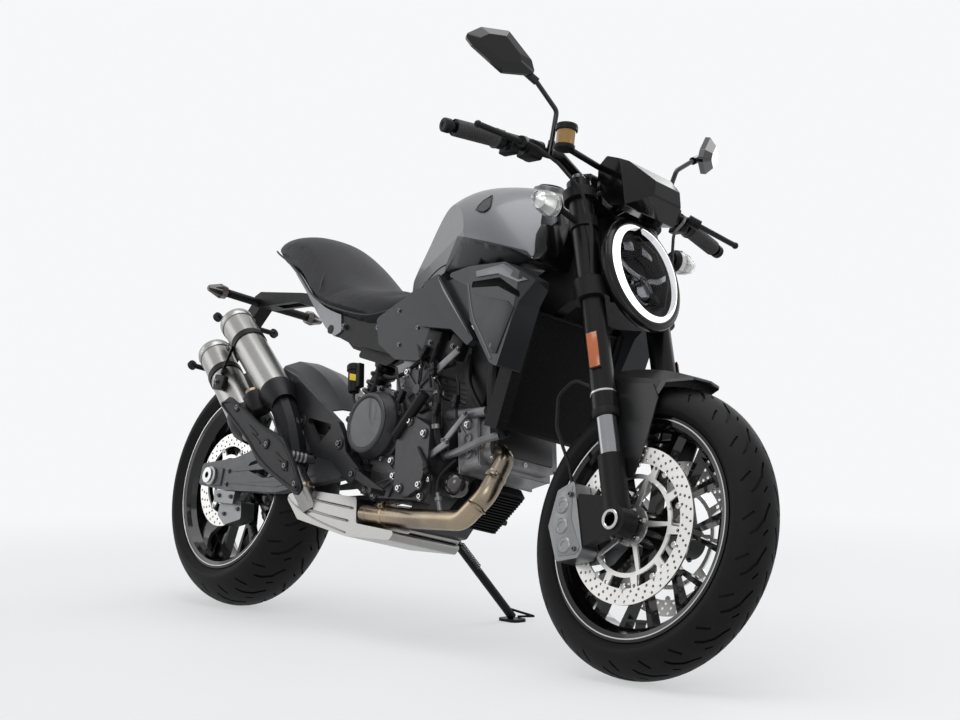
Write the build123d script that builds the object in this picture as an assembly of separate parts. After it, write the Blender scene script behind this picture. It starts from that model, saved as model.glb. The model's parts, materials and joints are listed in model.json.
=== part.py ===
"""Naked standard motorcycle with a V-twin engine, leaning on its side stand.

Every piece is modelled on the upright machine: X forward from the rear axle,
Y to the rider's left, Z up from the ground.  The finished machine is then
steered a little, leaned onto its stand and stood on the floor.
"""

import math
import os

from build123d import *

# ---------------------------------------------------------------- driving sizes
WHEELBASE = 1492.0
LEAN_ANGLE = 13.47          # towards the rider's left, onto the stand
STEER_ANGLE = 3.6           # bars at rest, turned to the left
STEER_LOCK = 30.0           # each way from straight ahead
RAKE = 22.8
FORK_OFFSET = 33.0          # steering axis behind the fork legs
FORK_HALF_SPAN = 105.0

FRONT_TYRE_RADIUS = 300.0
FRONT_TYRE_HALF = 59.5
FRONT_CROWN_DROP = 43.0
REAR_TYRE_RADIUS = 315.0
REAR_TYRE_HALF = 88.0
REAR_CROWN_DROP = 55.0
TYRE_WALL = 9.0
BEAD_GAP = 0.3
RIM_RADIUS = 231.0
BEAD_SEAT_RADIUS = 219.0
FRONT_RIM_HALF = 50.0
REAR_RIM_HALF = 76.0
SPOKE_PAIRS = 8
SPOKE_THICKNESS = 26.0

AXLE_RADIUS = 12.5
BEARING_GAP = 0.08
FRONT_HUB_RADIUS = 36.0
REAR_HUB_RADIUS = 42.0
FRONT_DISC_RADIUS = 160.0
FRONT_DISC_INNER = 127.0
FRONT_DISC_THICKNESS = 4.5
FRONT_DISC_Y = 65.8
REAR_DISC_RADIUS = 122.5
REAR_DISC_INNER = 88.0
REAR_DISC_THICKNESS = 5.0
REAR_DISC_Y = -84.0
SPROCKET_RADIUS = 104.0
SPROCKET_THICKNESS = 5.0
CHAIN_Y = 104.0
CHAIN_WIDTH = 16.0
CHAIN_HEIGHT = 15.0
FRONT_SPROCKET = (640.0, 392.0)
FRONT_SPROCKET_RADIUS = 36.0

FORK_OUTER_RADIUS = 26.5
FORK_INNER_RADIUS = 21.5
FORK_SLIDE_GAP = 0.3
FORK_TOP = 780.0
FORK_OUTER_END = 238.0
FORK_INNER_END = 112.0
LOWER_CLAMP = (494.0, 538.0)
UPPER_CLAMP = (733.0, 757.0)
STEM_RADIUS = 15.0
HEAD_TUBE_RADIUS = 34.0
CLAMP_RADIUS = 37.0
FOOT_RADIUS = 27.5
AXLE_END_RADIUS = 20.5
AXLE_BORE = 8.5
AXLE_MOUTH = 14.0
AXLE_HALF = 128.0

BAR_RADIUS = 11.0
BAR_CENTRE_RADIUS = 14.3
GRIP_RADIUS = 17.0
HOSE_RADIUS = 3.5

ENGINE_HALF_WIDTH = 118.0
SWINGARM_PIVOT = (560.0, 385.0)
SWINGARM_TUBE_RADIUS = 26.0
SWINGARM_RIGHT = (-128.0, -101.0)
SWINGARM_LEFT = (117.5, 141.0)
HEADER_RADIUS = 22.5
SILENCER_RADIUS = 42.0
STAND_PIVOT = (656.0, 165.0, 254.0)
STAND_PIN_RADIUS = 8.0
STAND_FOOT = (682.0, 384.0)              # ahead, and out to the left on the floor
STAND_FOLDED = (-0.99, 0.0, -0.06)       # the leg's direction when it is folded
CAP_CENTRE = (985.0, 0.0)
CAP_RADIUS = 31.0
CAP_SEAT_Z = 1050.0
CAP_OPENING = 85.0
SEAT_GAP = 0.4

FRONT_AXLE = (WHEELBASE, 0.0, FRONT_TYRE_RADIUS)
REAR_AXLE = (0.0, 0.0, REAR_TYRE_RADIUS)
SINE = math.sin(math.radians(RAKE))
COSINE = math.cos(math.radians(RAKE))
# fork frame: x ahead of the legs, y left, z up the legs, from the front axle
FORK = Plane(origin=FRONT_AXLE, x_dir=(COSINE, 0, SINE), z_dir=(-SINE, 0, COSINE))


# ---------------------------------------------------------------- shape helpers
def outline_face(points, corner=0.0):
    """Flat face inside a closed outline, its corners rounded where there is room."""
    area = sum(a[0] * b[1] - b[0] * a[1] for a, b in zip(points, points[1:] + points[:1]))
    points = [Vector(*point) for point in (points if area > 0 else points[::-1])]
    if not corner:
        return make_face(Polyline(*points, close=True))
    edges, last = [], None
    count = len(points)
    tangents = []
    for n, point in enumerate(points):
        back, ahead = points[n - 1] - point, points[(n + 1) % count] - point
        half_turn = math.radians(180 - back.get_angle(ahead)) / 2
        room = 0.48 * min(back.length, ahead.length)
        reach = min(corner * math.tan(half_turn), room)
        bisector = (back.normalized() + ahead.normalized())
        if reach < 0.5 or bisector.length < 1e-3:
            tangents.append((point, None, point))
            continue
        radius = reach / math.tan(half_turn)
        depth = radius / math.cos(half_turn) - radius
        tangents.append((point + back.normalized() * reach,
                         point + bisector.normalized() * depth,
                         point + ahead.normalized() * reach))
    for n, (start, middle, end) in enumerate(tangents):
        last = tangents[n - 1][2]
        if (start - last).length > 1e-4:
            edges.append(Line(last, start))
        if middle is not None:
            edges.append(ThreePointArc(start, middle, end))
    return make_face(edges)


def flat(*points):
    """Flat polygon, turned so that its face looks up out of its plane."""
    return outline_face(list(points))


def side_plate(outline, low_y, high_y, corner=0.0):
    """Plate with a side-view outline of (x, z) points between two y values."""
    return extrude(Plane.XZ.offset(-high_y) * outline_face(outline, corner), high_y - low_y)


def floor_plate(outline, low_z, high_z, corner=0.0):
    """Plate with a plan-view outline of (x, y) points between two heights."""
    return extrude(Plane.XY.offset(low_z) * outline_face(outline, corner), high_z - low_z)


def rod(start, end, radius, bore=0.0, end_radius=None):
    """Round bar, tube or cone between two points."""
    start, end = Vector(*start), Vector(*end)
    length = (end - start).length
    plane = Plane(origin=start, z_dir=end - start)
    if end_radius is None:
        body = extrude(plane * Circle(radius), length)
    else:
        body = loft([plane * Circle(radius), plane.offset(length) * Circle(end_radius)])
    if bore:
        body -= extrude(plane * Circle(bore), length)
    return body


def cross_rod(x, z, low_y, high_y, radius, bore=0.0):
    """Round bar or tube along Y."""
    return rod((x, low_y, z), (x, high_y, z), radius, bore)


def bent_tube(points, radius, bends, bore=0.0):
    """Round tube along straight runs joined by tangent arcs."""
    path = FilletPolyline(*points, radius=bends)
    start = Plane(origin=path @ 0, z_dir=path % 0)
    section = start * Circle(radius)
    if bore:
        section -= start * Circle(bore)
    return sweep(section, path=path)


def hull(stations):
    """Body lofted through sections: a curve over the top down to a side edge, then straight.

    Each station is x, the (y, z) points from the middle of the top to the side edge, and
    the (y, z) points of the underside.
    """
    faces = []
    for x, top, low in stations:
        over = [(x, -y, z) for y, z in reversed(top)] + [(x, y, z) for y, z in top[1:]]
        under = [over[-1]] + [(x, y, z) for y, z in low]
        under += [(x, -y, z) for y, z in reversed(low)] + [over[0]]
        faces.append(make_face([Spline(*over), Polyline(*under)]))
    return loft(faces)


def half_space(first, second, third, away):
    """Large block on the side of a plane that the direction 'away' points to."""
    first, second, third = Vector(*first), Vector(*second), Vector(*third)
    normal = (second - first).cross(third - first).normalized()
    if normal.dot(Vector(*away)) < 0:
        normal = -normal
    return extrude(Plane(origin=first, z_dir=normal) * Rectangle(2400, 2400), 900)


def both_sides(shape):
    """The shape and its mirror image across the machine's centre plane."""
    return [shape, mirror(shape, about=Plane.XZ)]


def ring_section(axle, points):
    """Face of (y, radius) points in the upright plane through an axle."""
    plane = Plane(origin=axle, x_dir=(0, 1, 0), z_dir=(1, 0, 0))
    return plane * make_face(Polyline(*points, close=True))


def axle_line(axle):
    """Axis along Y through an axle's centre."""
    return Axis(axle, (0, 1, 0))


def in_fork(shape):
    """Place a shape that was modelled in fork coordinates."""
    return FORK.location * shape


def clear_of(shape, *others):
    """The shape less what neighbouring pieces fill."""
    for other in others:
        for piece in other if isinstance(other, list) else [other]:
            shape = shape - piece
    return shape


# ---------------------------------------------------------------- wheels
def tyre(axle, outer_radius, half, drop, rim_half):
    """Tyre carcass: round crown, full side walls and beads that sit in the rim."""
    plane = Plane(origin=axle, x_dir=(0, 1, 0), z_dir=(1, 0, 0))
    bead = rim_half - 6.0
    edge = outer_radius - drop
    bead_foot = BEAD_SEAT_RADIUS + BEAD_GAP
    flange_top = RIM_RADIUS + 1.5
    crown = ThreePointArc((-half, edge), (0, outer_radius), (half, edge))
    wall = ThreePointArc((half, edge), (half + 0.8, edge - 8), (rim_half - 3, flange_top))
    inner_half = half - TYRE_WALL
    inner_edge = edge - 6.0
    inner = ThreePointArc(
        (inner_half, inner_edge), (0, outer_radius - TYRE_WALL), (-inner_half, inner_edge)
    )
    foot = Polyline(
        (rim_half - 3, flange_top), (bead - BEAD_GAP, flange_top - 2),
        (bead - BEAD_GAP, bead_foot), (bead - 9, bead_foot), (inner_half, inner_edge),
    )
    left_foot = Polyline(
        (-inner_half, inner_edge), (-bead + 9, bead_foot), (-bead + BEAD_GAP, bead_foot),
        (-bead + BEAD_GAP, flange_top - 2), (-rim_half + 3, flange_top),
    )
    left_wall = ThreePointArc(
        (-rim_half + 3, flange_top), (-half - 0.8, edge - 8), (-half, edge)
    )
    section = plane * make_face([crown, wall, foot, inner, left_foot, left_wall])
    return revolve(section, axle_line(axle))


def rim(axle, half):
    """Wheel rim: flanges, bead seats and drop well."""
    bead = half - 6.0
    profile = [
        (half - 1, RIM_RADIUS), (bead + 1.5, RIM_RADIUS - 1), (bead, RIM_RADIUS - 3),
        (bead, BEAD_SEAT_RADIUS), (bead - 10, BEAD_SEAT_RADIUS - 0.5), (bead - 18, 206),
    ]
    inside = [(bead - 20, 199), (bead - 8, 207), (half - 3, 213), (half, 226)]
    outer_left = [(-y, r) for y, r in reversed(profile)]
    inner_left = [(-y, r) for y, r in reversed(inside)]
    return revolve(ring_section(axle, profile + outer_left + inner_left + inside),
                   axle_line(axle))


def spoke_star(axle, hub_radius, hub_half, tilt):
    """Y-shaped spokes from the hub to the rim, with a web inside each fork."""
    step = 360.0 / SPOKE_PAIRS
    fork_radius, rim_radius = 112.0, 202.0
    spread = math.radians(step / 4)
    fork = (0.0, fork_radius)
    tip = (rim_radius * math.sin(spread), rim_radius * math.cos(spread))
    web = (186.0 * math.sin(spread) * 0.93, 186.0 * math.cos(spread))
    stem = flat((-10, hub_radius - 6), (10, hub_radius - 6), (8, fork_radius + 4),
                   (-8, fork_radius + 4))
    limb = flat((0, fork_radius - 12), (9, fork_radius - 2),
                   (tip[0] + 8, tip[1] - 1), (tip[0] - 7, tip[1] + 2))
    bridge = flat((-web[0], web[1] - 3), (web[0], web[1] - 3), (web[0], web[1] + 3),
                     (-web[0], web[1] + 3))
    strut = flat((-2.5, web[1]), (2.5, web[1]), (2.5, 203), (-2.5, 203))
    unit = stem + limb + mirror(limb, about=Plane.YZ) + bridge + strut
    star = Sketch() + [Rot(0, 0, tilt + n * step) * unit for n in range(SPOKE_PAIRS)]
    plane = Plane(origin=axle, x_dir=(1, 0, 0), z_dir=(0, -1, 0))
    spokes = extrude(plane * star, SPOKE_THICKNESS / 2, both=True)
    hub = cross_rod(axle[0], axle[2], -hub_half, hub_half, hub_radius)
    return spokes + hub


def front_wheel_pieces():
    """Front tyre, wheel and the pair of brake discs."""
    x, _, z = FRONT_AXLE
    disc_in = FRONT_DISC_Y - FRONT_DISC_THICKNESS / 2
    wheel = rim(FRONT_AXLE, FRONT_RIM_HALF)
    wheel += spoke_star(FRONT_AXLE, FRONT_HUB_RADIUS, disc_in - BEAD_GAP, 4.0)
    wheel -= cross_rod(x, z, -90, 90, AXLE_RADIUS + BEARING_GAP)
    tyre_body = tyre(FRONT_AXLE, FRONT_TYRE_RADIUS, FRONT_TYRE_HALF, FRONT_CROWN_DROP,
                     FRONT_RIM_HALF)
    disc = brake_disc(FRONT_AXLE, disc_in, FRONT_DISC_THICKNESS, FRONT_DISC_RADIUS,
                      FRONT_DISC_INNER, 10, 22.0)
    return {
        "front_tyre": tyre_body,
        "front_wheel": wheel,
        "front_brake_discs": both_sides(disc),
    }


def brake_disc(axle, low_y, thickness, outer, inner, arms, bore):
    """Drilled ring on a carrier with arms that reach to its buttons."""
    plane = Plane(origin=(axle[0], low_y + thickness, axle[2]),
                  x_dir=(1, 0, 0), z_dir=(0, -1, 0))
    carrier_radius = inner - 22.0
    ring = Circle(outer) - Circle(inner)
    carrier = Circle(carrier_radius) - Circle(carrier_radius - 9)
    hub = Circle(bore + 20) - Circle(bore)
    arm = flat((carrier_radius - 5, -9), (inner + 4, -7), (inner + 4, 7),
                  (carrier_radius - 5, 9))
    leg = flat((bore + 14, -6), (carrier_radius - 5, -10), (carrier_radius - 5, -2),
                  (bore + 14, 6))
    legs = [Rot(0, 0, n * 72 + 10) * leg for n in range(5)]
    limbs = [Rot(0, 0, n * 360.0 / arms) * arm for n in range(arms)]
    face = Sketch() + [ring, carrier, hub, *limbs, *legs]
    buttons = [Rot(0, 0, n * 360.0 / arms) * Pos(inner - 3, 0) * Circle(4.0)
               for n in range(arms)]
    return extrude(plane * (face - buttons), thickness)


def rear_wheel_pieces():
    """Rear tyre, wheel, brake disc and sprocket."""
    x, _, z = REAR_AXLE
    disc_low = REAR_DISC_Y - REAR_DISC_THICKNESS / 2
    disc_high = REAR_DISC_Y + REAR_DISC_THICKNESS / 2
    sprocket_low = CHAIN_Y - SPROCKET_THICKNESS / 2
    wheel = rim(REAR_AXLE, REAR_RIM_HALF)
    wheel += spoke_star(REAR_AXLE, REAR_HUB_RADIUS, 60.0, 12.0)
    wheel += cross_rod(x, z, disc_high + BEAD_GAP, -50, 46)
    wheel += cross_rod(x, z, 50, sprocket_low - BEAD_GAP, 52)
    wheel -= cross_rod(x, z, -110, 110, AXLE_RADIUS + BEARING_GAP)
    tyre_body = tyre(REAR_AXLE, REAR_TYRE_RADIUS, REAR_TYRE_HALF, REAR_CROWN_DROP,
                     REAR_RIM_HALF)
    disc = brake_disc(REAR_AXLE, disc_low, REAR_DISC_THICKNESS, REAR_DISC_RADIUS,
                      REAR_DISC_INNER, 6, 22.0)
    teeth = 42
    plane = Plane(origin=(x, sprocket_low + SPROCKET_THICKNESS, z),
                  x_dir=(1, 0, 0), z_dir=(0, -1, 0))
    blank = Circle(SPROCKET_RADIUS - 5) - Circle(22)
    tooth = flat((SPROCKET_RADIUS - 8, -4.6), (SPROCKET_RADIUS, -1.6),
                    (SPROCKET_RADIUS, 1.6), (SPROCKET_RADIUS - 8, 4.6))
    tooth_ring = [Rot(0, 0, n * 360.0 / teeth) * tooth for n in range(teeth)]
    windows = [Rot(0, 0, n * 60) * Pos(70, 0) * Circle(15) for n in range(6)]
    face = Sketch() + [blank, *tooth_ring] - windows
    return {
        "rear_tyre": tyre_body,
        "rear_wheel": wheel,
        "rear_brake_disc": disc,
        "rear_sprocket": extrude(plane * face, SPROCKET_THICKNESS),
    }


# ---------------------------------------------------------------- front end
def fork_pieces():
    """Upside-down fork legs, feet with the hollow axle, and the two clamps."""
    outers, inners, feet = [], [], []
    for side in (-1, 1):
        y = side * FORK_HALF_SPAN
        outer = rod((0, y, FORK_OUTER_END), (0, y, FORK_TOP), FORK_OUTER_RADIUS)
        collar = rod((0, y, FORK_OUTER_END), (0, y, FORK_OUTER_END + 26), 27.4)
        cap = rod((0, y, FORK_TOP), (0, y, FORK_TOP + 9), 19, end_radius=15)
        bore = rod((0, y, FORK_OUTER_END), (0, y, FORK_OUTER_END + 120),
                   FORK_INNER_RADIUS + FORK_SLIDE_GAP)
        outers.append(outer + collar + cap - bore)
        inners.append(rod((0, y, FORK_INNER_END), (0, y, FORK_OUTER_END + 115),
                          FORK_INNER_RADIUS))
        socket = rod((0, y, 10), (0, y, FORK_INNER_END + 28), FOOT_RADIUS)
        socket -= rod((0, y, FORK_INNER_END - BEAD_GAP), (0, y, FORK_INNER_END + 30),
                      FORK_INNER_RADIUS + BEAD_GAP)
        clamp = cross_rod(0, 0, y - 22, y + 22, 33)
        lug = side_plate([(-20, 60), (-88, 88), (-92.7, 70), (-92.7, -24), (-20, -22)],
                         y - 9, y + 12, 4)
        feet.append(socket + clamp + lug)
    axle = cross_rod(0, 0, -AXLE_HALF, AXLE_HALF, AXLE_RADIUS)
    axle += cross_rod(0, 0, -AXLE_HALF, -AXLE_HALF + 22, AXLE_END_RADIUS)
    foot_body = feet[0] + feet[1] + axle
    foot_body -= cross_rod(0, 0, -AXLE_HALF, -AXLE_HALF + 18, AXLE_MOUTH)
    foot_body -= cross_rod(0, 0, -AXLE_HALF, AXLE_HALF, AXLE_BORE)

    def clamp_plate(low, high, reach):
        """Clamp with two rings round the legs and a bridge to the stem."""
        rings = [Pos(0, side * FORK_HALF_SPAN) * Circle(CLAMP_RADIUS) for side in (-1, 1)]
        bridge = flat((14, 104), (22, 60), (8, 0), (22, -60), (14, -104), (-20, -112),
                         (-FORK_OFFSET - reach, -40), (-FORK_OFFSET - reach, 40),
                         (-20, 112))
        holes = [Pos(0, side * FORK_HALF_SPAN) * Circle(FORK_OUTER_RADIUS + 0.2)
                 for side in (-1, 1)]
        face = Sketch() + [*rings, bridge] - holes
        return extrude(Plane.XY.offset(low) * face, high - low)

    lower = clamp_plate(*LOWER_CLAMP, 26)
    upper = clamp_plate(*UPPER_CLAMP, 22)
    lower += rod((-FORK_OFFSET, 0, LOWER_CLAMP[1] - 2),
                 (-FORK_OFFSET, 0, UPPER_CLAMP[0] - BEAD_GAP), STEM_RADIUS)
    upper += rod((-FORK_OFFSET, 0, UPPER_CLAMP[1]), (-FORK_OFFSET, 0, UPPER_CLAMP[1] + 10),
                 19)
    return {
        "fork_outer_tubes": [in_fork(piece) for piece in outers],
        "fork_inner_tubes": [in_fork(piece) for piece in inners],
        "fork_feet_and_axle": in_fork(foot_body),
        "fork_clamps": [in_fork(lower), in_fork(upper)],
    }


BAR_POINTS = [(1150, 0, 1043), (1152, 62, 1043), (1166, 150, 1066), (1140, 300, 1054),
              (1124, 436, 1038)]


def handlebar_pieces():
    """Tapered bar with its risers, and the grips, levers and switch boxes on it."""
    half = None
    for start, end in zip(BAR_POINTS, BAR_POINTS[1:]):
        wide = BAR_CENTRE_RADIUS if start[1] == 0 else BAR_RADIUS
        piece = rod(start, end, wide)
        half = piece if half is None else half + Pos(*start) * Sphere(wide) + piece
    bar = half + mirror(half, about=Plane.XZ)
    for side in (-1, 1):
        x, z = BAR_POINTS[0][0], BAR_POINTS[0][2]
        y = side * 40
        block = side_plate([(x - 24, z - 20), (x + 24, z - 20), (x + 24, z + 18),
                            (x - 24, z + 18)], y - 14, y + 14, 8)
        foot = Vector(*FORK.from_local_coords((-FORK_OFFSET + 4, y, UPPER_CLAMP[1] - 1)))
        bar += block + rod((x - 2, y, z - 12), foot, 13)
    bend, inner, end = (Vector(*point) for point in BAR_POINTS[2:])
    along = (end - inner).normalized()
    inward = (bend - inner).normalized()
    grip = rod(inner + along * 18, end - along * 14, GRIP_RADIUS, BAR_RADIUS + BEAD_GAP)
    weight = rod(end + along * BEAD_GAP, end + along * 15, 15.0)
    box = rod(inner + along * 2, inner + along * 17, 21.0, BAR_RADIUS + BEAD_GAP)
    perch = rod(inner + inward * 8, inner + inward * 34, 19.0, BAR_RADIUS + BEAD_GAP)
    cylinder = rod(inner + inward * 30 + Vector(30, 0, 2), inner + Vector(52, -6, -4), 12.0)
    neck = rod(inner + inward * 21 + Vector(13, 0, 0), inner + inward * 21 + Vector(36, 0, 2), 10)
    lever = rod(inner + Vector(50, -10, -4), inner + Vector(56, 122, -12), 6.5)
    lever += Pos(*(inner + Vector(56, 122, -12))) * Sphere(8)
    switches = rod(inner + inward * 52, inner + inward * 98, 20.0, BAR_RADIUS + BEAD_GAP)
    controls = both_sides(grip) + both_sides(weight) + both_sides(box)
    controls += both_sides(perch + cylinder + neck + lever) + both_sides(switches)
    cup = Vector(1226, -199, 1050)
    reservoir = rod(cup + Vector(0, 0, 16), cup + Vector(-6, 0, 62), 20)
    reservoir += rod(cup + Vector(-5, 0, 54), cup + Vector(-7, 0, 66), 23)
    reservoir += rod(cup + Vector(-1, 0, 12), cup + Vector(-2, 0, 20), 22)
    reservoir += rod(cup + Vector(0, 0, 18), bend + Vector(20, -28, -4), 7)
    clamp = rod(bend - inward * 34, bend - inward * 20, 17.0, BAR_RADIUS + BEAD_GAP)
    arm = rod(bend - inward * 27 + Vector(14, 0, 0), bend + Vector(24, -30, -4), 7)
    controls.append(mirror(clamp + arm, about=Plane.XZ) + reservoir)
    return {"handlebar": bar, "hand_controls": controls}


def mirror_pieces():
    """Mirrors on bent arms that rise from the bar."""
    arm = bent_tube([(1172, 190, 1084), (1178, 199, 1152), (1163, 264, 1200)], 5.5, 18)
    arm += rod((1170, 188, 1058), (1172, 190, 1088), 8)
    arm += rod((1165, 260, 1197), (1150, 292, 1214), 9)
    back = Plane(origin=(1118, 345, 1238), x_dir=(-0.54, 0.84, 0), z_dir=(0.84, 0.54, 0.05))
    outline = [(78, 14), (46, 40), (-14, 47), (-74, -4), (-88, -34), (-16, -46), (58, -4)]
    face = outline_face(outline, 9)
    shell = extrude(back * face, 12)
    small = outline_face([(x * 0.6, y * 0.6) for x, y in outline], 5.4)
    shell += loft([back.offset(12) * face, back.offset(27) * small])
    return {"mirrors": both_sides(shell + arm)}


def lamp_pieces():
    """Headlight bucket with its ring, the instrument housing and indicators."""
    c = 565.0

    def oval(a, half_y, half_c):
        plane = Plane(origin=(a, 0, c), x_dir=(0, 1, 0), z_dir=(1, 0, 0))
        return plane * Ellipse(half_y, half_c)

    bucket = loft([oval(24, 62, 76), oval(34, 108, 121), oval(42, 118, 131)])
    bucket += extrude(oval(42, 118, 131), 20)
    bucket += extrude(oval(62, 110, 122), 6)
    lens = loft([oval(68, 100, 112), oval(80, 72, 84)])
    side_shape = side_plate([(26, 762), (42, 812), (68, 826), (116, 794), (157, 735),
                             (151, 700), (96, 690), (58, 708)], -84, 84, 6)
    plan = floor_plate([(10, 70), (40, 82), (100, 80), (164, 34), (164, -34), (100, -80),
                        (40, -82), (10, -70)], 600, 900, 6)
    dash = side_shape & plan
    stay = rod((-10, 0, 745), (62, 0, 745), 12)
    dash += clear_of(stay, rod((-FORK_OFFSET, 0, 700), (-FORK_OFFSET, 0, 800), 30))
    ears = []
    for side in (-1, 1):
        y = side * 79
        band = side_plate([(20, 560), (62, 556), (62, 584), (-20, 600), (-20, 570)],
                          y - 2.5, y + 2.5)
        ears.append(band)
    indicators = []
    for side in (-1, 1):
        stalk = rod((2, side * 134, 676), (8, side * 188, 686), 6.5)
        pod_plane = Plane(origin=(2, side * 186, 688), x_dir=(1, 0, 0), z_dir=(0, side, 0.05))
        pod = loft([pod_plane * Ellipse(15, 17), pod_plane.offset(22) * Ellipse(20, 24),
                    pod_plane.offset(66) * Ellipse(12, 14)])
        ring = rod((0, side * FORK_HALF_SPAN, 664), (0, side * FORK_HALF_SPAN, 690), 31,
                   FORK_OUTER_RADIUS + 0.2)
        indicators.append(stalk + pod + ring)
    return {
        "headlight": in_fork(bucket + lens),
        "instrument_panel": in_fork(dash),
        "front_indicators": [in_fork(piece) for piece in indicators],
    }


def fender_piece():
    """Front mudguard: arched blade over the tyre with legs down to the fork feet."""
    x, _, z = FRONT_AXLE
    centre = (x - 52, 0, z - 230)
    section = [(-71, 500), (-66, 530), (-38, 553), (0, 557), (38, 553), (66, 530),
               (71, 500), (75, 500), (70, 532), (40, 557), (0, 561), (-40, 557),
               (-70, 532), (-75, 500)]
    ring = revolve(ring_section(centre, section), axle_line(centre), 360)
    wedge = side_plate([(centre[0], centre[2]), (x + 124, z + 420), (x - 186, z + 420)],
                       -120, 120)
    plan = floor_plate([(x - 200, 80), (x - 10, 80), (x + 24, 64), (x + 70, 40), (x + 80, 0),
                        (x + 70, -40), (x + 24, -64), (x - 10, -80), (x - 200, -80)],
                       z, z + 420, 12)
    blade = ring & wedge & plan
    skirt_outline = [(x - 134, z + 262), (x - 62, z + 288), (x - 6, z + 290),
                     (x + 16, z + 262), (x + 8, z + 190), (x - 10, z + 96), (x - 50, z + 92),
                     (x - 96, z + 170)]
    legs = [side_plate(skirt_outline, low, low + 3.5, 8) for low in (-77.0, 73.5)]
    body = blade
    for leg in legs:
        body += leg
    return {"front_mudguard": body}


def front_caliper_pieces():
    """Radial calipers behind the fork legs, open over the disc."""
    calipers = []
    slot_half = FRONT_DISC_THICKNESS / 2 + 2.2
    outline = [(-93, 118), (-140, 112), (-176, 46), (-166, -34), (-108, -44), (-93, -30)]
    for side in (-1, 1):
        low, high = sorted((side * 44, side * 116))
        block = side_plate(outline, low, high, 7)
        centre = side * FRONT_DISC_Y
        block -= cross_rod(0, 0, centre - slot_half, centre + slot_half,
                           FRONT_DISC_RADIUS + 4)
        calipers.append(block)
    return calipers


def hose_pieces():
    """Brake and clutch hoses that the fork carries, a bar run and a caliper loop each side."""
    bar_run = in_fork(bent_tube([(2, 268, 822), (14, 244, 812), (34, 206, 776), (44, 150, 724),
                                 (42, 130, 640), (26, 128, 537)], HOSE_RADIUS,
                                [24, 40, 60, 60]))
    loop = bent_tube([(1337, 92, 359), (1318, 95, 404), (1272, 108, 480), (1262, 112, 548),
                      (1300, 112, 584), (1364, 107, 566)], HOSE_RADIUS, [28, 40, 28, 28])
    return {"brake_hoses": both_sides(bar_run) + both_sides(loop)}


# ---------------------------------------------------------------- chassis
def engine_pieces():
    """V-twin engine: crankcase, two cylinders with heads, and its side covers."""
    px, pz = SWINGARM_PIVOT
    case = side_plate([(px - 26, pz - 36), (px - 26, pz + 36), (640, 520), (720, 560),
                       (850, 540), (926, 470), (944, 412), (900, 344), (862, 284), (836, 246),
                       (812, 240), (806, 306), (620, 308)],
                      -ENGINE_HALF_WIDTH, ENGINE_HALF_WIDTH, 12)
    wide = ENGINE_HALF_WIDTH + 20
    case -= side_plate([(480, 200), (720, 200), (720, 470), (600, 560), (480, 560)],
                       CHAIN_Y - CHAIN_WIDTH / 2 - 10, wide)
    case -= side_plate([(480, 200), (640, 200), (640, 560), (480, 560)], -wide, -95)
    case -= side_plate([(480, 200), (1000, 200), (1000, 302), (480, 302)], -wide, -90)
    case -= side_plate([(480, 200), (1000, 200), (1000, 302), (480, 302)], 62, wide)
    case -= cross_rod(px, pz, -wide, wide, SWINGARM_TUBE_RADIUS + 0.4)
    case += cross_rod(*FRONT_SPROCKET, 80, CHAIN_Y + 7,
                      FRONT_SPROCKET_RADIUS - CHAIN_HEIGHT / 2 - BEAD_GAP)
    pivot, _, axis = stand_geometry()
    case += rod(pivot + axis * 12.4, pivot + axis * 54, 18)
    case += rod(pivot + axis * 42, (pivot.X + 34, 70, 326), 15, end_radius=24)
    case += rod(pivot - axis * 13, pivot + axis * 14, STAND_PIN_RADIUS)
    front = Plane(origin=(850, 0, 404), x_dir=(0, 1, 0), z_dir=(math.cos(math.radians(17)), 0,
                                                                math.sin(math.radians(17))))
    rear = Plane(origin=(770, 0, 470), x_dir=(0, 1, 0),
                 z_dir=(math.cos(math.radians(107)), 0, math.sin(math.radians(107))))
    cylinders = []
    for plane, width, height in ((front, 214, 132), (rear, 184, 160)):
        barrel = extrude(plane * RectangleRounded(150, height - 12, 20), 112)
        head = extrude(plane.offset(112) * RectangleRounded(width, height, 14), 64)
        cover = extrude(plane.offset(176) * RectangleRounded(width - 16, height - 20, 24), 32)
        cylinders.append(barrel + head + cover)
    pair = [clear_of(piece, case) for piece in cylinders]
    clutch = cross_rod(675, 467, -140, -ENGINE_HALF_WIDTH, 80)
    clutch += rod((675, -140, 467), (675, -165, 467), 80, end_radius=70)
    belt = side_plate([(806, 316), (780, 430), (820, 494), (896, 468), (908, 400),
                       (896, 330), (856, 306)], -148, -ENGINE_HALF_WIDTH, 16)
    alternator = cross_rod(812, 396, ENGINE_HALF_WIDTH, 162, 64)
    alternator = chamfer(alternator.faces().sort_by(Axis.Y)[-1].edges(), 10)
    covers = [clutch + clear_of(belt, clutch), alternator]
    return {
        "engine_crankcase": case,
        "engine_cylinders": pair,
        "engine_side_covers": covers,
    }


def cooling_pieces():
    """Radiator with side tanks and the ribbed oil cooler below it."""
    lean = Plane(origin=(1122, 0, 608), x_dir=(0, 1, 0),
                 z_dir=(math.cos(math.radians(8.5)), 0, -math.sin(math.radians(8.5))))
    core = extrude(lean * RectangleRounded(236, 262, 4), 15, both=True)
    tanks = [lean * Pos(side * 133, 0, 0) * Box(29, 272, 44) for side in (-1, 1)]
    radiator = core + tanks
    cooler_plane = Plane(origin=(955, 0, 318), x_dir=(0, 1, 0), z_dir=(0.72, 0, -0.69))
    cooler = extrude(cooler_plane * RectangleRounded(140, 124, 6), 11, both=True)
    cooler += [rod((954, y, 313), (858, y, 388), 7) for y in (-45, 45)]
    return {"radiator": radiator, "oil_cooler": cooler}


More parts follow.
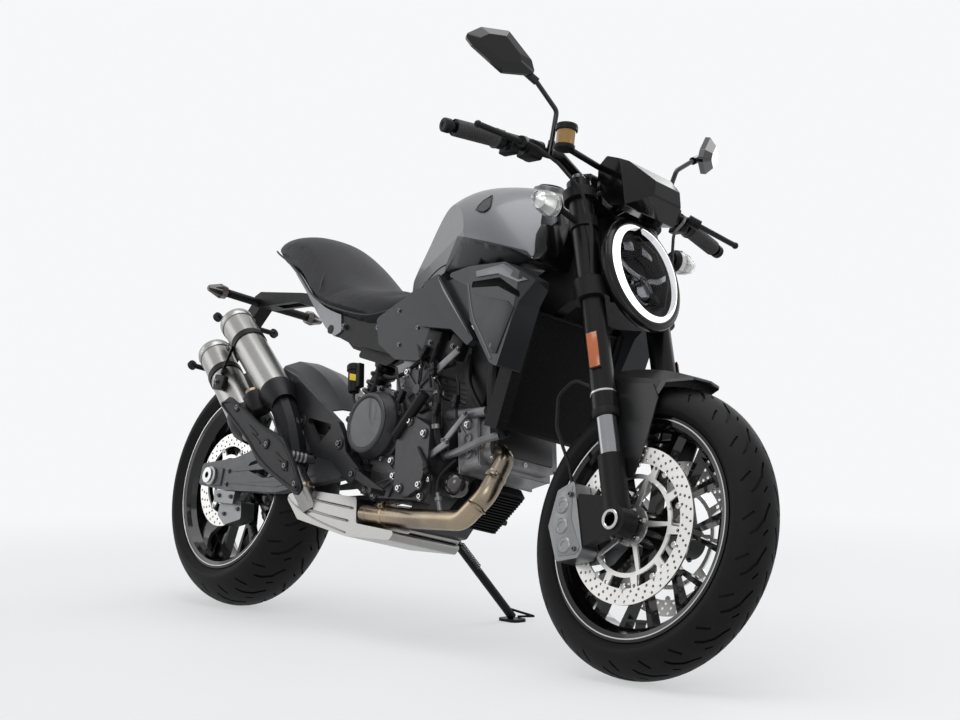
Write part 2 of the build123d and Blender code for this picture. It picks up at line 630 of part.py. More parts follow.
def frame_pieces():
    """Cast front frame round the steering head, and the rear subframe."""
    head = rod((-FORK_OFFSET, 0, LOWER_CLAMP[1] + 5.5),
               (-FORK_OFFSET, 0, UPPER_CLAMP[0] - 6), HEAD_TUBE_RADIUS)
    bore = rod((-FORK_OFFSET, 0, 400), (-FORK_OFFSET, 0, 800), STEM_RADIUS + BEARING_GAP)
    head = in_fork(head)
    spars = []
    for side in (-1, 1):
        near = Plane(origin=(1208, side * 24, 866), x_dir=(0, 1, 0), z_dir=(-1, 0, -0.25))
        far = Plane(origin=(1000, side * 88, 690), x_dir=(0, 1, 0), z_dir=(-0.5, 0, -1))
        spar = loft([near * Rectangle(26, 108), far * Rectangle(34, 150)])
        spars.append(spar)
        low_y, high_y = sorted((side * 78, side * 100))
        spars.append(side_plate([(925, 720), (1050, 720), (1004, 522), (950, 500)],
                                low_y, high_y, 6))
    frame = head
    for spar in spars:
        frame += spar
    frame -= in_fork(bore)
    inner = side_plate([(648, 612), (646, 700), (606, 722), (560, 716), (470, 735), (300, 775),
                        (200, 830), (196, 816), (300, 742), (420, 668), (560, 640)],
                       50, 64, 8)
    outer = side_plate([(400, 690), (475, 668), (600, 650), (644, 642), (644, 700), (600, 722),
                        (545, 720), (470, 742), (404, 756), (428, 704)], 88, 108, 8)
    rear_body = inner + mirror(inner, about=Plane.XZ) + outer + mirror(outer, about=Plane.XZ)
    rear_body += side_plate([(452, 646), (578, 624), (616, 640), (590, 672), (475, 676)],
                            -70, 70, 8)
    for x, z in ((440, 712), (585, 688), (210, 820)):
        reach = 64 if x < 300 else 104
        rear_body += cross_rod(x, z, -reach, reach, 10)
    for x, z in ((376, 706), (574, 710)):
        for side in (-1, 1):
            rear_body += cross_rod(x, z, *sorted((side * 56, side * 113)), 11)
    return {"front_frame": frame, "rear_subframe": rear_body}


def swingarm_pieces():
    """Double-sided swingarm with the rear axle, shock, caliper and hugger."""
    px, pz = SWINGARM_PIVOT
    arm_outline = [(px + 34, pz + 20), (px - 10, pz + 44), (px - 160, pz + 60),
                   (250, 418), (90, 368), (-64, 346), (-62, 290), (60, 282), (300, 290),
                   (px, pz - 46), (px + 34, pz - 20)]
    window = [(430, 400), (260, 388), (120, 346), (230, 322), (420, 340)]
    arm_body = cross_rod(px, pz, SWINGARM_RIGHT[1] - 2, SWINGARM_LEFT[0] + 2,
                         SWINGARM_TUBE_RADIUS)
    for low, high in (SWINGARM_RIGHT, SWINGARM_LEFT):
        arm = side_plate(arm_outline, low, high, 10)
        arm_body += arm - side_plate(window, low - 1, high + 1, 12)
    arm_body += side_plate([(px - 46, pz - 32), (px - 46, pz + 50), (px - 120, pz + 60),
                            (px - 136, pz + 4)], SWINGARM_RIGHT[1] - 2, 84, 8)
    arm_body += side_plate([(px - 48, pz - 28), (px - 48, pz + 24), (px - 118, pz + 24),
                            (px - 118, pz - 28)], 80, SWINGARM_LEFT[0] + 2, 4)
    x, z = REAR_AXLE[0], REAR_AXLE[2]
    arm_body += cross_rod(x, z, SWINGARM_RIGHT[0] - 10, SWINGARM_LEFT[1] + 8, AXLE_RADIUS)
    arm_body += cross_rod(x, z, SWINGARM_RIGHT[0] - 10, SWINGARM_RIGHT[0] + 1, 23.5)
    arm_body += cross_rod(x, z, SWINGARM_LEFT[1] - 1, SWINGARM_LEFT[1] + 8, 20)
    arm_body -= cross_rod(x, z, SWINGARM_RIGHT[0] - 11, SWINGARM_LEFT[1] + 9, 8)
    spring = rod((438, -20, 486), (520, -20, 640), 34)
    rod_part = rod((430, -20, 430), (440, -20, 490), 16)
    top = rod((520, -20, 640), (530, -20, 660), 18)
    shock = spring + rod_part + top
    caliper_box = side_plate([(24, 268), (120, 262), (134, 216), (60, 196), (20, 220)],
                             -106, -66, 8)
    slot = cross_rod(0, REAR_TYRE_RADIUS, REAR_DISC_Y - REAR_DISC_THICKNESS / 2 - 2.2,
                     REAR_DISC_Y + REAR_DISC_THICKNESS / 2 + 2.2, REAR_DISC_RADIUS + 4)
    bracket = side_plate([(10, 281.5), (110, 281.5), (110, 250), (20, 250)], -124, -106)
    caliper = caliper_box - slot + bracket
    centre = (120, 0, 247)
    section = [(-100, 350), (-88, 372), (-50, 392), (0, 398), (50, 392), (88, 372),
               (100, 350), (103.5, 350), (91, 375), (52, 396), (0, 402), (-52, 396),
               (-91, 375), (-103.5, 350)]
    ring = revolve(ring_section(centre, section), axle_line(centre), 360)
    wedge = side_plate([(120, 247), (196, 760), (400, 760), (560, 660)], -120, 120)
    hugger = ring & wedge
    hugger += side_plate([(236, 566), (300, 548), (332, 424), (290, 424)], -103.5, -100)
    return {
        "swingarm": arm_body,
        "rear_shock": shock,
        "rear_brake_caliper": caliper,
        "rear_mudguard": hugger,
    }


def drive_pieces():
    """Drive chain as one loop round both sprockets, and the sprocket cover."""
    fx, fz = FRONT_SPROCKET
    rx, rz = 0.0, REAR_TYRE_RADIUS
    inner_front = FRONT_SPROCKET_RADIUS
    inner_rear = SPROCKET_RADIUS + 1.0
    half = CHAIN_HEIGHT / 2

    def belt(front_radius, rear_radius):
        """Filled outline of a belt round two circles."""
        distance = math.hypot(fx - rx, fz - rz)
        base = math.atan2(fz - rz, fx - rx)
        lift = math.acos((rear_radius - front_radius) / distance)
        points = []
        for sign in (1, -1):
            angle = base + sign * lift
            points.append((rx + rear_radius * math.cos(angle),
                           rz + rear_radius * math.sin(angle)))
            points.append((fx + front_radius * math.cos(angle),
                           fz + front_radius * math.sin(angle)))
        quad = flat(points[0], points[1], points[3], points[2])
        return quad + Pos(rx, rz) * Circle(rear_radius) + Pos(fx, fz) * Circle(front_radius)

    outline = belt(inner_front + half, inner_rear + half)
    hole = belt(inner_front - half, inner_rear - half)
    plane = Plane.XZ.offset(-(CHAIN_Y + CHAIN_WIDTH / 2))
    loop = extrude(plane * (outline - hole), CHAIN_WIDTH)
    groove = cross_rod(rx, rz, CHAIN_Y - SPROCKET_THICKNESS / 2 - 0.5,
                       CHAIN_Y + SPROCKET_THICKNESS / 2 + 0.5, SPROCKET_RADIUS + 0.5)
    chain = loop - groove
    cover = side_plate([(740, 352), (700, 336), (622, 336), (604, 400), (616, 452),
                        (700, 466), (744, 440)], ENGINE_HALF_WIDTH + SEAT_GAP, 140, 14)
    return {"drive_chain": chain, "sprocket_cover": cover}


def exhaust_pieces():
    """Header pipes, collector box, pair of stacked silencers and heat shield."""
    header = bent_tube([(1030, -62, 436), (1086, -76, 416), (1090, -112, 330),
                        (1030, -118, 270), (860, -122, 262), (676.5, -118, 262)],
                       HEADER_RADIUS, [24, 40, 46, 60])
    header += rod((1008, -60, 443), (1032, -62, 436), 31)
    collector = side_plate([(812, 207), (640, 204), (436, 230), (366, 284), (440, 302),
                            (660, 296), (676, 236), (828, 228)], -140, 56, 10)
    collector += side_plate([(820, 232), (700, 208), (660, 210), (660, 292), (800, 292)],
                            -88, 56, 8)
    upper_line = (Vector(46, -178, 708), Vector(330, -196, 524))
    lower_line = (Vector(-24, -182, 626), Vector(236, -200, 440))
    silencers = []
    for start, end in (upper_line, lower_line):
        along = (end - start).normalized()
        can = rod(start, end, SILENCER_RADIUS)
        can += rod(end - along, end + along * 34, SILENCER_RADIUS, end_radius=28)
        can += rod(start - along * 5, start + along * 18, SILENCER_RADIUS + 1.5)
        silencers.append(can - rod(start - along * 6, start + along * 60, 30))
    link = bent_tube([(330, -196, 524), (398, -186, 450), (440, -170, 330),
                      (470, -126, 262)], 26, [50, 60])
    link += rod((240, -200, 437), (430, -176, 340), 24)
    shield = side_plate([(185, 482), (218, 500), (300, 470), (374, 438), (490, 404),
                         (548, 356), (607, 293), (590, 273), (409, 337), (334, 395)],
                        -260, -252, 10)
    shield += cross_rod(232, 474, -253, -230, 7)
    shield += cross_rod(425, 345, -253, -180, 7)
    return {
        "exhaust_headers": header,
        "exhaust_collector": collector + link,
        "silencers": silencers,
        "heat_shield": shield,
    }


def fork_sweep():
    """Room that the legs, clamps and bar risers need from lock to lock."""
    lock = STEER_LOCK + 2.0
    arm = math.hypot(FORK_OFFSET, FORK_HALF_SPAN)
    rest = math.degrees(math.atan2(FORK_HALF_SPAN, FORK_OFFSET))

    def sector(inner, outer, low, high):
        """Ring sector on both sides, between two radii and two angles from ahead."""
        ring = Circle(outer) - Circle(inner)
        reach = 3 * outer
        fan = [(0, 0)]
        for step in range(5):
            angle = math.radians(low + (high - low) * step / 4)
            fan.append((reach * math.cos(angle), reach * math.sin(angle)))
        half = ring & flat(*fan)
        return half + mirror(half, about=Plane.XZ)

    def band(width):
        """Area that a disc of this radius on each fork leg sweeps."""
        shape = sector(arm - width, arm + width, rest - lock, rest + lock)
        for turn in (-lock, lock):
            angle = math.radians(rest + turn)
            shape += [Pos(arm * math.cos(angle), side * arm * math.sin(angle)) * Circle(width)
                      for side in (-1, 1)]
        return shape

    legs = extrude(Plane.XY.offset(400) * band(FORK_OUTER_RADIUS + 7), 440)
    rings = extrude(Plane.XY.offset(UPPER_CLAMP[0] - 8) * band(CLAMP_RADIUS + 7), 110)
    risers = extrude(Plane.XY.offset(UPPER_CLAMP[0] - 8) * Circle(82), 160)
    lamps = extrude(Plane.XY.offset(655) * sector(arm, 245, rest - lock, 82 + lock), 70)
    return in_fork(Pos(-FORK_OFFSET, 0, 0) * (legs + rings + risers + lamps))


def tank_piece():
    """Fuel tank: lofted over its length, with flat knee recesses and fork notches."""
    tank = hull([
        (612, [(0, 838), (60, 830), (108, 800), (130, 770)], [(112, 750)]),
        (646, [(0, 892), (60, 884), (112, 842), (138, 788)], [(116, 753)]),
        (702, [(0, 976), (62, 966), (116, 912), (148, 846)], [(126, 780)]),
        (772, [(0, 1038), (64, 1029), (124, 980), (160, 882)], [(138, 818)]),
        (848, [(0, 1056), (68, 1045), (132, 990), (167, 905)], [(146, 832)]),
        (940, [(0, 1053), (70, 1041), (138, 985), (174, 893)], [(152, 838)]),
        (1040, [(0, 1036), (68, 1024), (132, 967), (170, 872)], [(150, 840)]),
        (1110, [(0, 1010), (58, 999), (116, 944), (154, 857)], [(140, 842)]),
        (1156, [(0, 980), (46, 970), (98, 912), (138, 847)], [(128, 838)]),
    ])
    for side in (-1, 1):
        ridge_top, ridge_edge = (794, side * 118, 1004), (880, side * 159, 905)
        ridge_foot, back = (823, side * 134, 838), (625, side * 66, 838)
        tank -= half_space(ridge_top, ridge_edge, back, (-1, side * 2, 0))
        tank -= half_space(ridge_edge, ridge_foot, back, (-1, side * 2, 0))
    boss = rod((*CAP_CENTRE, 1000), (*CAP_CENTRE, CAP_SEAT_Z), CAP_RADIUS + 10)
    tank += boss
    tank -= rod((*CAP_CENTRE, CAP_SEAT_Z), (*CAP_CENTRE, CAP_SEAT_Z + 40), CAP_RADIUS + 10)
    return tank - fork_sweep()


def side_panel_piece():
    """Right side panel: rear cover, bright strip, scoop and pointed wing."""
    cover = side_plate([(590, 724), (655, 758), (726, 794), (790, 796), (812, 690),
                        (786, 622), (692, 626), (618, 662)], -132, -112, 10)
    strip = side_plate([(786, 797), (838, 817), (1008, 664), (990, 650), (912, 694)],
                       -162, -142, 4)
    wing = floor_plate([(880, -160), (972, -176), (1176, -204), (1226, -196), (1216, -150),
                        (1150, -132), (1000, -150), (890, -140)], 560, 830)
    wing_outline = side_plate([(862, 816), (960, 827), (1110, 826), (1226, 782),
                               (1190, 736), (1152, 594), (1120, 604), (1010, 700),
                               (968, 782)], -230, -100, 5)
    scoop = wing & wing_outline
    mouth = side_plate([(990, 776), (1100, 772), (1190, 742), (1186, 756), (1100, 792),
                        (990, 790)], -230, -176, 3)
    bridge = side_plate([(770, 790), (900, 812), (1000, 800), (1000, 730), (930, 690),
                         (780, 700)], -146, -130, 8)
    return cover + strip + (scoop - mouth) + bridge


def tail_pieces():
    """Seat, tail cowl with its lamp recess, and the holder for plate and indicators."""
    seat = hull([
        (-14, [(0, 950), (34, 948), (56, 941), (66, 932)], [(50, 926)]),
        (30, [(0, 972), (48, 969), (82, 950), (94, 925)], [(70, 912)]),
        (110, [(0, 975), (60, 969), (104, 938), (116, 903)], [(92, 884)]),
        (200, [(0, 963), (62, 951), (110, 904), (130, 858)], [(104, 842)]),
        (290, [(0, 929), (62, 913), (115, 850), (143, 798)], [(118, 782)]),
        (370, [(0, 881), (64, 866), (121, 814), (147, 768)], [(122, 752)]),
        (436, [(0, 831), (68, 824), (126, 799), (149, 754)], [(124, 737)]),
        (505, [(0, 809), (70, 808), (126, 794), (147, 742)], [(120, 725)]),
        (575, [(0, 810), (66, 809), (116, 794), (136, 736)], [(108, 720)]),
        (632, [(0, 822), (56, 820), (88, 804), (108, 764)], [(86, 752)]),
    ])
    profile = side_plate([(-6, 930), (66, 899), (140, 864), (226, 805), (350, 712), (396, 688),
                          (424, 700), (400, 770), (300, 815), (200, 890), (60, 930)],
                         -150, 150, 6)
    plan = floor_plate([(-8, 58), (60, 76), (150, 96), (300, 110), (430, 112), (430, -112),
                        (300, -110), (150, -96), (60, -76), (-8, -58)], 600, 1000, 8)
    tail = clear_of(profile & plan, seat)
    lamp = Plane(origin=(98, 0, 884), x_dir=(0, 1, 0), z_dir=(0.44, 0, 0.9)) * Box(116, 42, 34)
    tail -= lamp
    arm = side_plate([(240, 800), (180, 822), (80, 830), (-120, 838), (-146, 826), (-150, 800),
                      (-120, 796), (60, 806), (230, 776)], -26, 26, 5)
    arm -= side_plate([(60, 800), (60, 900), (-60, 900), (-60, 800)], -14, 14)
    arm += side_plate([(-118, 838), (-146, 830), (-300, 620), (-294, 606), (-280, 606),
                       (-116, 800)], -20, 20, 6)
    for side in (-1, 1):
        for x, z, reach in ((-204, 752, 92), (-286, 618, 92)):
            arm += rod((x, 0, z), (x, side * reach, z), 7)
            arm += rod((x + 4, side * reach, z + 2), (x - 4, side * reach, z - 2), 13)
            arm -= rod((x + 20, side * reach, z + 11), (x - 20, side * reach, z - 11), 4)
        arm += rod((-124, side * 10, 808), (-120, side * 126, 808), 11)
        plane = Plane(origin=(-120, side * 124, 808), x_dir=(1, 0, 0), z_dir=(-0.06, side, 0))
        arm += loft([plane * Ellipse(9, 8), plane.offset(26) * Ellipse(17, 19),
                     plane.offset(62) * Ellipse(6, 5)], ruled=True)
    holder = clear_of(arm, tail, seat)
    return {"seat": seat, "tail_cowl": tail, "plate_holder": holder}


def bodywork_pieces():
    """Fuel tank with its cap, side panels, seat, tail cowl and plate holder."""
    pieces = {
        "fuel_tank": tank_piece(),
        "fuel_cap": rod((*CAP_CENTRE, CAP_SEAT_Z + BEAD_GAP), (*CAP_CENTRE, CAP_SEAT_Z + 8),
                        CAP_RADIUS),
        "tank_side_panels": both_sides(side_panel_piece()),
    }
    pieces.update(tail_pieces())
    return pieces


def footrest_pieces():
    """Footrest hangers with their pegs and pedals."""
    outline = [(129, 600), (215, 597), (300, 590), (350, 575), (569, 466), (604, 430),
               (622, 396), (690, 356), (684, 332), (656, 322), (570, 372), (492, 380),
               (400, 468), (372, 510), (300, 522), (214, 534), (150, 568)]
    window = [(430, 474), (552, 458), (504, 408)]
    hangers = []
    for side in (-1, 1):
        low, high = (-168, -152) if side < 0 else (150, 164)
        shape = outline if side < 0 else outline[3:-3] + [(330, 560)]
        hanger = side_plate(shape, low, high, 8) - side_plate(window, low - 1, high + 1, 6)
        seat_y = -ENGINE_HALF_WIDTH - BEAD_GAP if side < 0 else 140 + BEAD_GAP
        hanger += cross_rod(672, 344, *sorted((seat_y, side * 172)), 16)
        peg_root = Vector(490, side * 158, 372)
        peg = rod(peg_root, (448, side * 254, 372), 11, end_radius=9)
        pedal_low, pedal_high = sorted((side * 166, side * 174))
        pedal = side_plate([(660, 334), (684, 334), (800, 300), (804, 314), (684, 356),
                            (660, 354)], pedal_low, pedal_high, 4)
        pedal += rod((792, side * 168, 307), (792, side * 204, 307), 7)
        hangers.append(hanger + peg + pedal)
    return {"footrest_hangers": hangers}


def stand_geometry():
    """Pivot, foot and fold axis of the side stand on the upright machine."""
    lean = math.radians(LEAN_ANGLE)
    floor_drop = tyre_crown_radius() * (math.cos(lean) - 1)
    foot_x, floor_y = STAND_FOOT
    foot = Vector(foot_x,
                  floor_y * math.cos(lean) - floor_drop * math.sin(lean),
                  floor_y * math.sin(lean) + floor_drop * math.cos(lean))
    pivot = Vector(*STAND_PIVOT)
    axis = (foot - pivot).cross(Vector(*STAND_FOLDED)).normalized()
    return pivot, foot, axis


def stand_fold_angle():
    """Angle that the stand turns through from the floor to its folded place."""
    pivot, foot, _ = stand_geometry()
    return (foot - pivot).get_angle(Vector(*STAND_FOLDED))


def stand_pieces():
    """Side stand: knuckle on its pin, leg and foot."""
    pivot, foot, axis = stand_geometry()
    lean = math.radians(LEAN_ANGLE)
    ground = Plane(origin=foot, x_dir=(1, 0, 0), z_dir=(0, -math.sin(lean), math.cos(lean)))
    leg = rod(pivot, foot + ground.z_dir * 10, 10.5)
    shoe = extrude(ground * RectangleRounded(70, 44, 16), 7)
    knuckle = rod(pivot - axis * 12, pivot + axis * 12, 19)
    stand = leg + shoe + knuckle
    stand -= rod(pivot - axis * 40, pivot + axis * 40, STAND_PIN_RADIUS + BEARING_GAP)
    return {"side_stand": stand}


def tyre_crown_radius():
    """Radius of the rear tyre's crown across its section."""
    return (REAR_TYRE_HALF ** 2 + REAR_CROWN_DROP ** 2) / (2 * REAR_CROWN_DROP)


# ---------------------------------------------------------------- assembly
def separate_neighbours(steering, chassis):
    """Cut each piece back to the faces of the neighbours that it seats on."""
    rules = [
        (steering, "handlebar", ["fork_clamps"]),
        (steering, "hand_controls", ["handlebar"]),
        (steering, "mirrors", ["handlebar", "hand_controls"]),
        (steering, "brake_hoses", ["hand_controls", "front_brake_calipers", "fork_clamps",
                                   "fork_outer_tubes", "front_mudguard"]),
        (steering, "headlight", ["fork_clamps", "fork_outer_tubes"]),
        (steering, "instrument_panel", ["fork_clamps", "fork_outer_tubes", "hand_controls"]),
        (chassis, "exhaust_headers", ["engine_cylinders", "engine_crankcase"]),
        (chassis, "front_frame", ["engine_cylinders", "radiator"]),
        (chassis, "fuel_tank", ["front_frame"]),
        (chassis, "seat", ["fuel_tank"]),
        (chassis, "rear_subframe", ["fuel_tank", "seat", "tail_cowl", "engine_cylinders",
                                    "plate_holder"]),
        (chassis, "tank_side_panels", ["fuel_tank", "radiator", "seat", "rear_subframe",
                                       "front_frame", "engine_cylinders"]),
        (chassis, "exhaust_collector", ["silencers", "swingarm", "engine_crankcase"]),
        (chassis, "oil_cooler", ["engine_crankcase"]),
        (chassis, "rear_mudguard", ["swingarm"]),
        (chassis, "footrest_hangers", ["engine_side_covers", "engine_crankcase", "silencers",
                                       "exhaust_collector"]),
        (chassis, "heat_shield", ["silencers", "exhaust_collector", "footrest_hangers"]),
        (chassis, "rear_shock", ["swingarm", "rear_subframe"]),
    ]
    for group, name, others in rules:
        neighbours = [group[other] for other in others]
        pieces = [clear_of(piece, *neighbours) for piece in as_list(group[name])]
        group[name] = [largest(piece) for piece in pieces]


def as_list(piece):
    """A piece as a list of shapes."""
    return list(piece) if isinstance(piece, list) else [piece]


def largest(piece):
    """The largest solid of a piece, without the scraps that a cut leaves."""
    return max(solids_of(piece), key=lambda solid: solid.volume)


def build():
    """Every node of the upright machine, grouped by the body that carries it."""
    groups = {}
    groups["front_wheel"] = front_wheel_pieces()
    groups["rear_wheel"] = rear_wheel_pieces()
    steering = fork_pieces()
    steering.update(handlebar_pieces())
    steering.update(mirror_pieces())
    steering.update(lamp_pieces())
    steering.update(fender_piece())
    steering["front_brake_calipers"] = [in_fork(piece) for piece in front_caliper_pieces()]
    steering.update(hose_pieces())
    groups["steering"] = steering
    chassis = engine_pieces()
    for part in (cooling_pieces, frame_pieces, swingarm_pieces, drive_pieces, exhaust_pieces,
                 bodywork_pieces, footrest_pieces):
        chassis.update(part())
    separate_neighbours(steering, chassis)
    groups["fuel_cap"] = {"fuel_cap": chassis.pop("fuel_cap")}
    groups["side_stand"] = stand_pieces()
    groups["chassis"] = chassis
    return groups


def solids_of(piece):
    """The solids of a piece, whether it is one shape or a list of them."""
    if isinstance(piece, (list, tuple)):
        return [solid for item in piece for solid in solids_of(item)]
    return list(piece.solids())


def moving_joints(shift):
    """Position and axis of each joint on the finished machine, in metres."""
    def place(point, direction, steered):
        point, direction = Vector(*point), Vector(*direction)
        tip = point + direction
        if steered:
            point, tip = (Vertex(*p).rotate(STEER_AXIS, STEER_ANGLE).center()
                          for p in (point, tip))
        point, tip = (Vertex(*p).rotate(Axis.X, -LEAN_ANGLE).center() for p in (point, tip))
        return tuple((point + shift) / 1000), tuple((tip - point).normalized())

    pivot, _, fold_axis = stand_geometry()
    cap_hinge = (CAP_CENTRE[0] + CAP_RADIUS + 5, CAP_CENTRE[1], CAP_SEAT_Z + 5)
    return {
        "steering": place(STEER_AXIS.position, STEER_AXIS.direction, False),
        "front_wheel_spin": place(FRONT_AXLE, (0, 1, 0), True),
        "rear_wheel_spin": place(REAR_AXLE, (0, 1, 0), False),
        "side_stand_fold": place(pivot, fold_axis, False),
        "fuel_cap_hinge": place(cap_hinge, (0, 1, 0), False),
    }


STEER_AXIS = Axis(FORK.from_local_coords((-FORK_OFFSET, 0, 0)), FORK.z_dir)
STEERED = ("steering", "front_wheel")


def stand_up(groups):
    """Steer, lean and stand the machine; returns solids by node and the shift."""
    placed = {}
    for body, nodes in groups.items():
        for name, piece in nodes.items():
            solids = solids_of(piece)
            if body in STEERED:
                solids = [solid.rotate(STEER_AXIS, STEER_ANGLE) for solid in solids]
            placed[name] = [solid.rotate(Axis.X, -LEAN_ANGLE) for solid in solids]
    boxes = [solid.bounding_box() for solids in placed.values() for solid in solids]
    low = [min(getattr(box.min, axis) for box in boxes) for axis in "XYZ"]
    high = [max(getattr(box.max, axis) for box in boxes) for axis in "XYZ"]
    shift = Vector(-(low[0] + high[0]) / 2, -(low[1] + high[1]) / 2, -low[2])
    return {name: [Pos(shift) * solid for solid in solids]
            for name, solids in placed.items()}, shift


def main():
    """Build the machine and write one STEP file for each node."""
    os.makedirs("parts", exist_ok=True)
    placed, shift = stand_up(build())
    for name, solids in placed.items():
        export_step(Compound(children=solids), os.path.join("parts", name + ".step"))
    print("origin shift", shift)
    for name, (position, axis) in moving_joints(shift).items():
        print(name, position, axis)
    print("side stand folds through", stand_fold_angle(), "degrees")
    print("fuel cap opens through", CAP_OPENING, "degrees")


main()
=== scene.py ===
"""Studio scene of a naked standard motorcycle that leans on its side stand.

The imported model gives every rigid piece.  This script dresses those pieces, models the
soft and finely detailed ones, and sets a plain studio round the machine.  The studio and
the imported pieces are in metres.  Each sub-assembly is drawn in millimetres on the upright
machine (X forward from the rear axle, Y to the rider's left, Z up from the ground) or along
the fork legs, and is then scaled, steered and leaned into its place.
"""

from __future__ import annotations

import json
import logging
import math
from collections.abc import Callable, Iterable, Sequence
from dataclasses import dataclass
from enum import Enum
from itertools import pairwise

import bpy
from mathutils import Matrix, Vector
from mathutils.bvhtree import BVHTree

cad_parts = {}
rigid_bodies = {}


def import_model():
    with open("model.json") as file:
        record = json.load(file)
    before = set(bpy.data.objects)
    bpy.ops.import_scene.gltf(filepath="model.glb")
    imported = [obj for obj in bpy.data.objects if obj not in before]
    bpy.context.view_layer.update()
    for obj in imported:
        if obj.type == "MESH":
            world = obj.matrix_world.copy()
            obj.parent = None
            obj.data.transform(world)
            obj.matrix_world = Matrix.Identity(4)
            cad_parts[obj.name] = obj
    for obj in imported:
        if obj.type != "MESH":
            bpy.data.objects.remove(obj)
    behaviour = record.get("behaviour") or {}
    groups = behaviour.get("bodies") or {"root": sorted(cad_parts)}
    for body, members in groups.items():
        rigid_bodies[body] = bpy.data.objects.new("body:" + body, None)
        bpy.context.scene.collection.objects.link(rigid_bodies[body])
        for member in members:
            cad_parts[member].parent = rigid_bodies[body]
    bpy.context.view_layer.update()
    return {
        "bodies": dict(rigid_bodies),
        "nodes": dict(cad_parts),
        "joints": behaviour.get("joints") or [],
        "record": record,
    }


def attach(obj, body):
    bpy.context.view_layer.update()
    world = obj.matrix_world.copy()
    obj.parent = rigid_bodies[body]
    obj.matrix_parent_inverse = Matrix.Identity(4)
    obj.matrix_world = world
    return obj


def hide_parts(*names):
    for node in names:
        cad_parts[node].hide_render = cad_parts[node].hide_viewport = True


log = logging.getLogger("motorcycle")

Pair = tuple[float, float]
Point = tuple[float, float, float]
Place = Point | Vector
Colour = tuple[float, float, float]
Piece = bpy.types.Object

# The upright machine, in metres.
WHEELBASE = 1.492
FRONT_AXLE_HEIGHT = 0.300
REAR_AXLE_HEIGHT = 0.315
RAKE = math.radians(22.8)
STEER_REST = math.radians(3.6)

# What sub-assemblies share, in millimetres.
FORK_AXLE = (0.0, 0.0, 0.0)
REAR_AXLE = (0.0, 0.0, REAR_AXLE_HEIGHT * 1000)
FORK_SPAN = 105.0
OUTSIDE = 320.0
RIGHT = (0, -1, 0)
LEFT = (0, 1, 0)
SIDES = (-1, 1)
SQUARE = ((-1, -1), (1, -1), (1, 1), (-1, 1))
QUARTER = math.pi / 2


# ------------------------------------------------------------------ shader maths
class Term:
    """One number that a shader graph works out, with Python's operators on it."""

    def __init__(self, graph: Graph, socket: bpy.types.NodeSocket) -> None:
        """Keep the graph and the output socket that carries the number."""
        self.graph = graph
        self.socket = socket

    def _math(self, operation: str, *others: Term | float) -> Term:
        """Add one Math node.

        Args:
            operation: The node's operation name.
            others: The other operands, in order.

        Returns:
            The node's result.
        """
        inputs = dict(enumerate((self, *others)))
        node = self.graph.node("ShaderNodeMath", {"operation": operation}, inputs)
        return Term(self.graph, node.outputs[0])

    def __add__(self, other: Term | float) -> Term:
        """Sum."""
        return self._math("ADD", other)

    __radd__ = __add__

    def __sub__(self, other: Term | float) -> Term:
        """Difference."""
        return self._math("SUBTRACT", other)

    def __rsub__(self, other: float) -> Term:
        """Difference from a plain number."""
        return (self * -1.0) + other

    def __mul__(self, other: Term | float) -> Term:
        """Product."""
        return self._math("MULTIPLY", other)

    __rmul__ = __mul__

    def __pow__(self, other: float) -> Term:
        """Power."""
        return self._math("POWER", other)

    def __abs__(self) -> Term:
        """Size without its sign."""
        return self._math("ABSOLUTE")

    def fraction(self) -> Term:
        """Part after the decimal point."""
        return self._math("FRACT")

    def step(self, edge: float, soft: float) -> Term:
        """Mask that rises from zero to one around an edge."""
        settings = {"clamp": True, "interpolation_type": "SMOOTHSTEP"}
        values = {0: self, 1: edge - soft, 2: edge + soft}
        node = self.graph.node("ShaderNodeMapRange", settings, values)
        return Term(self.graph, node.outputs[0])


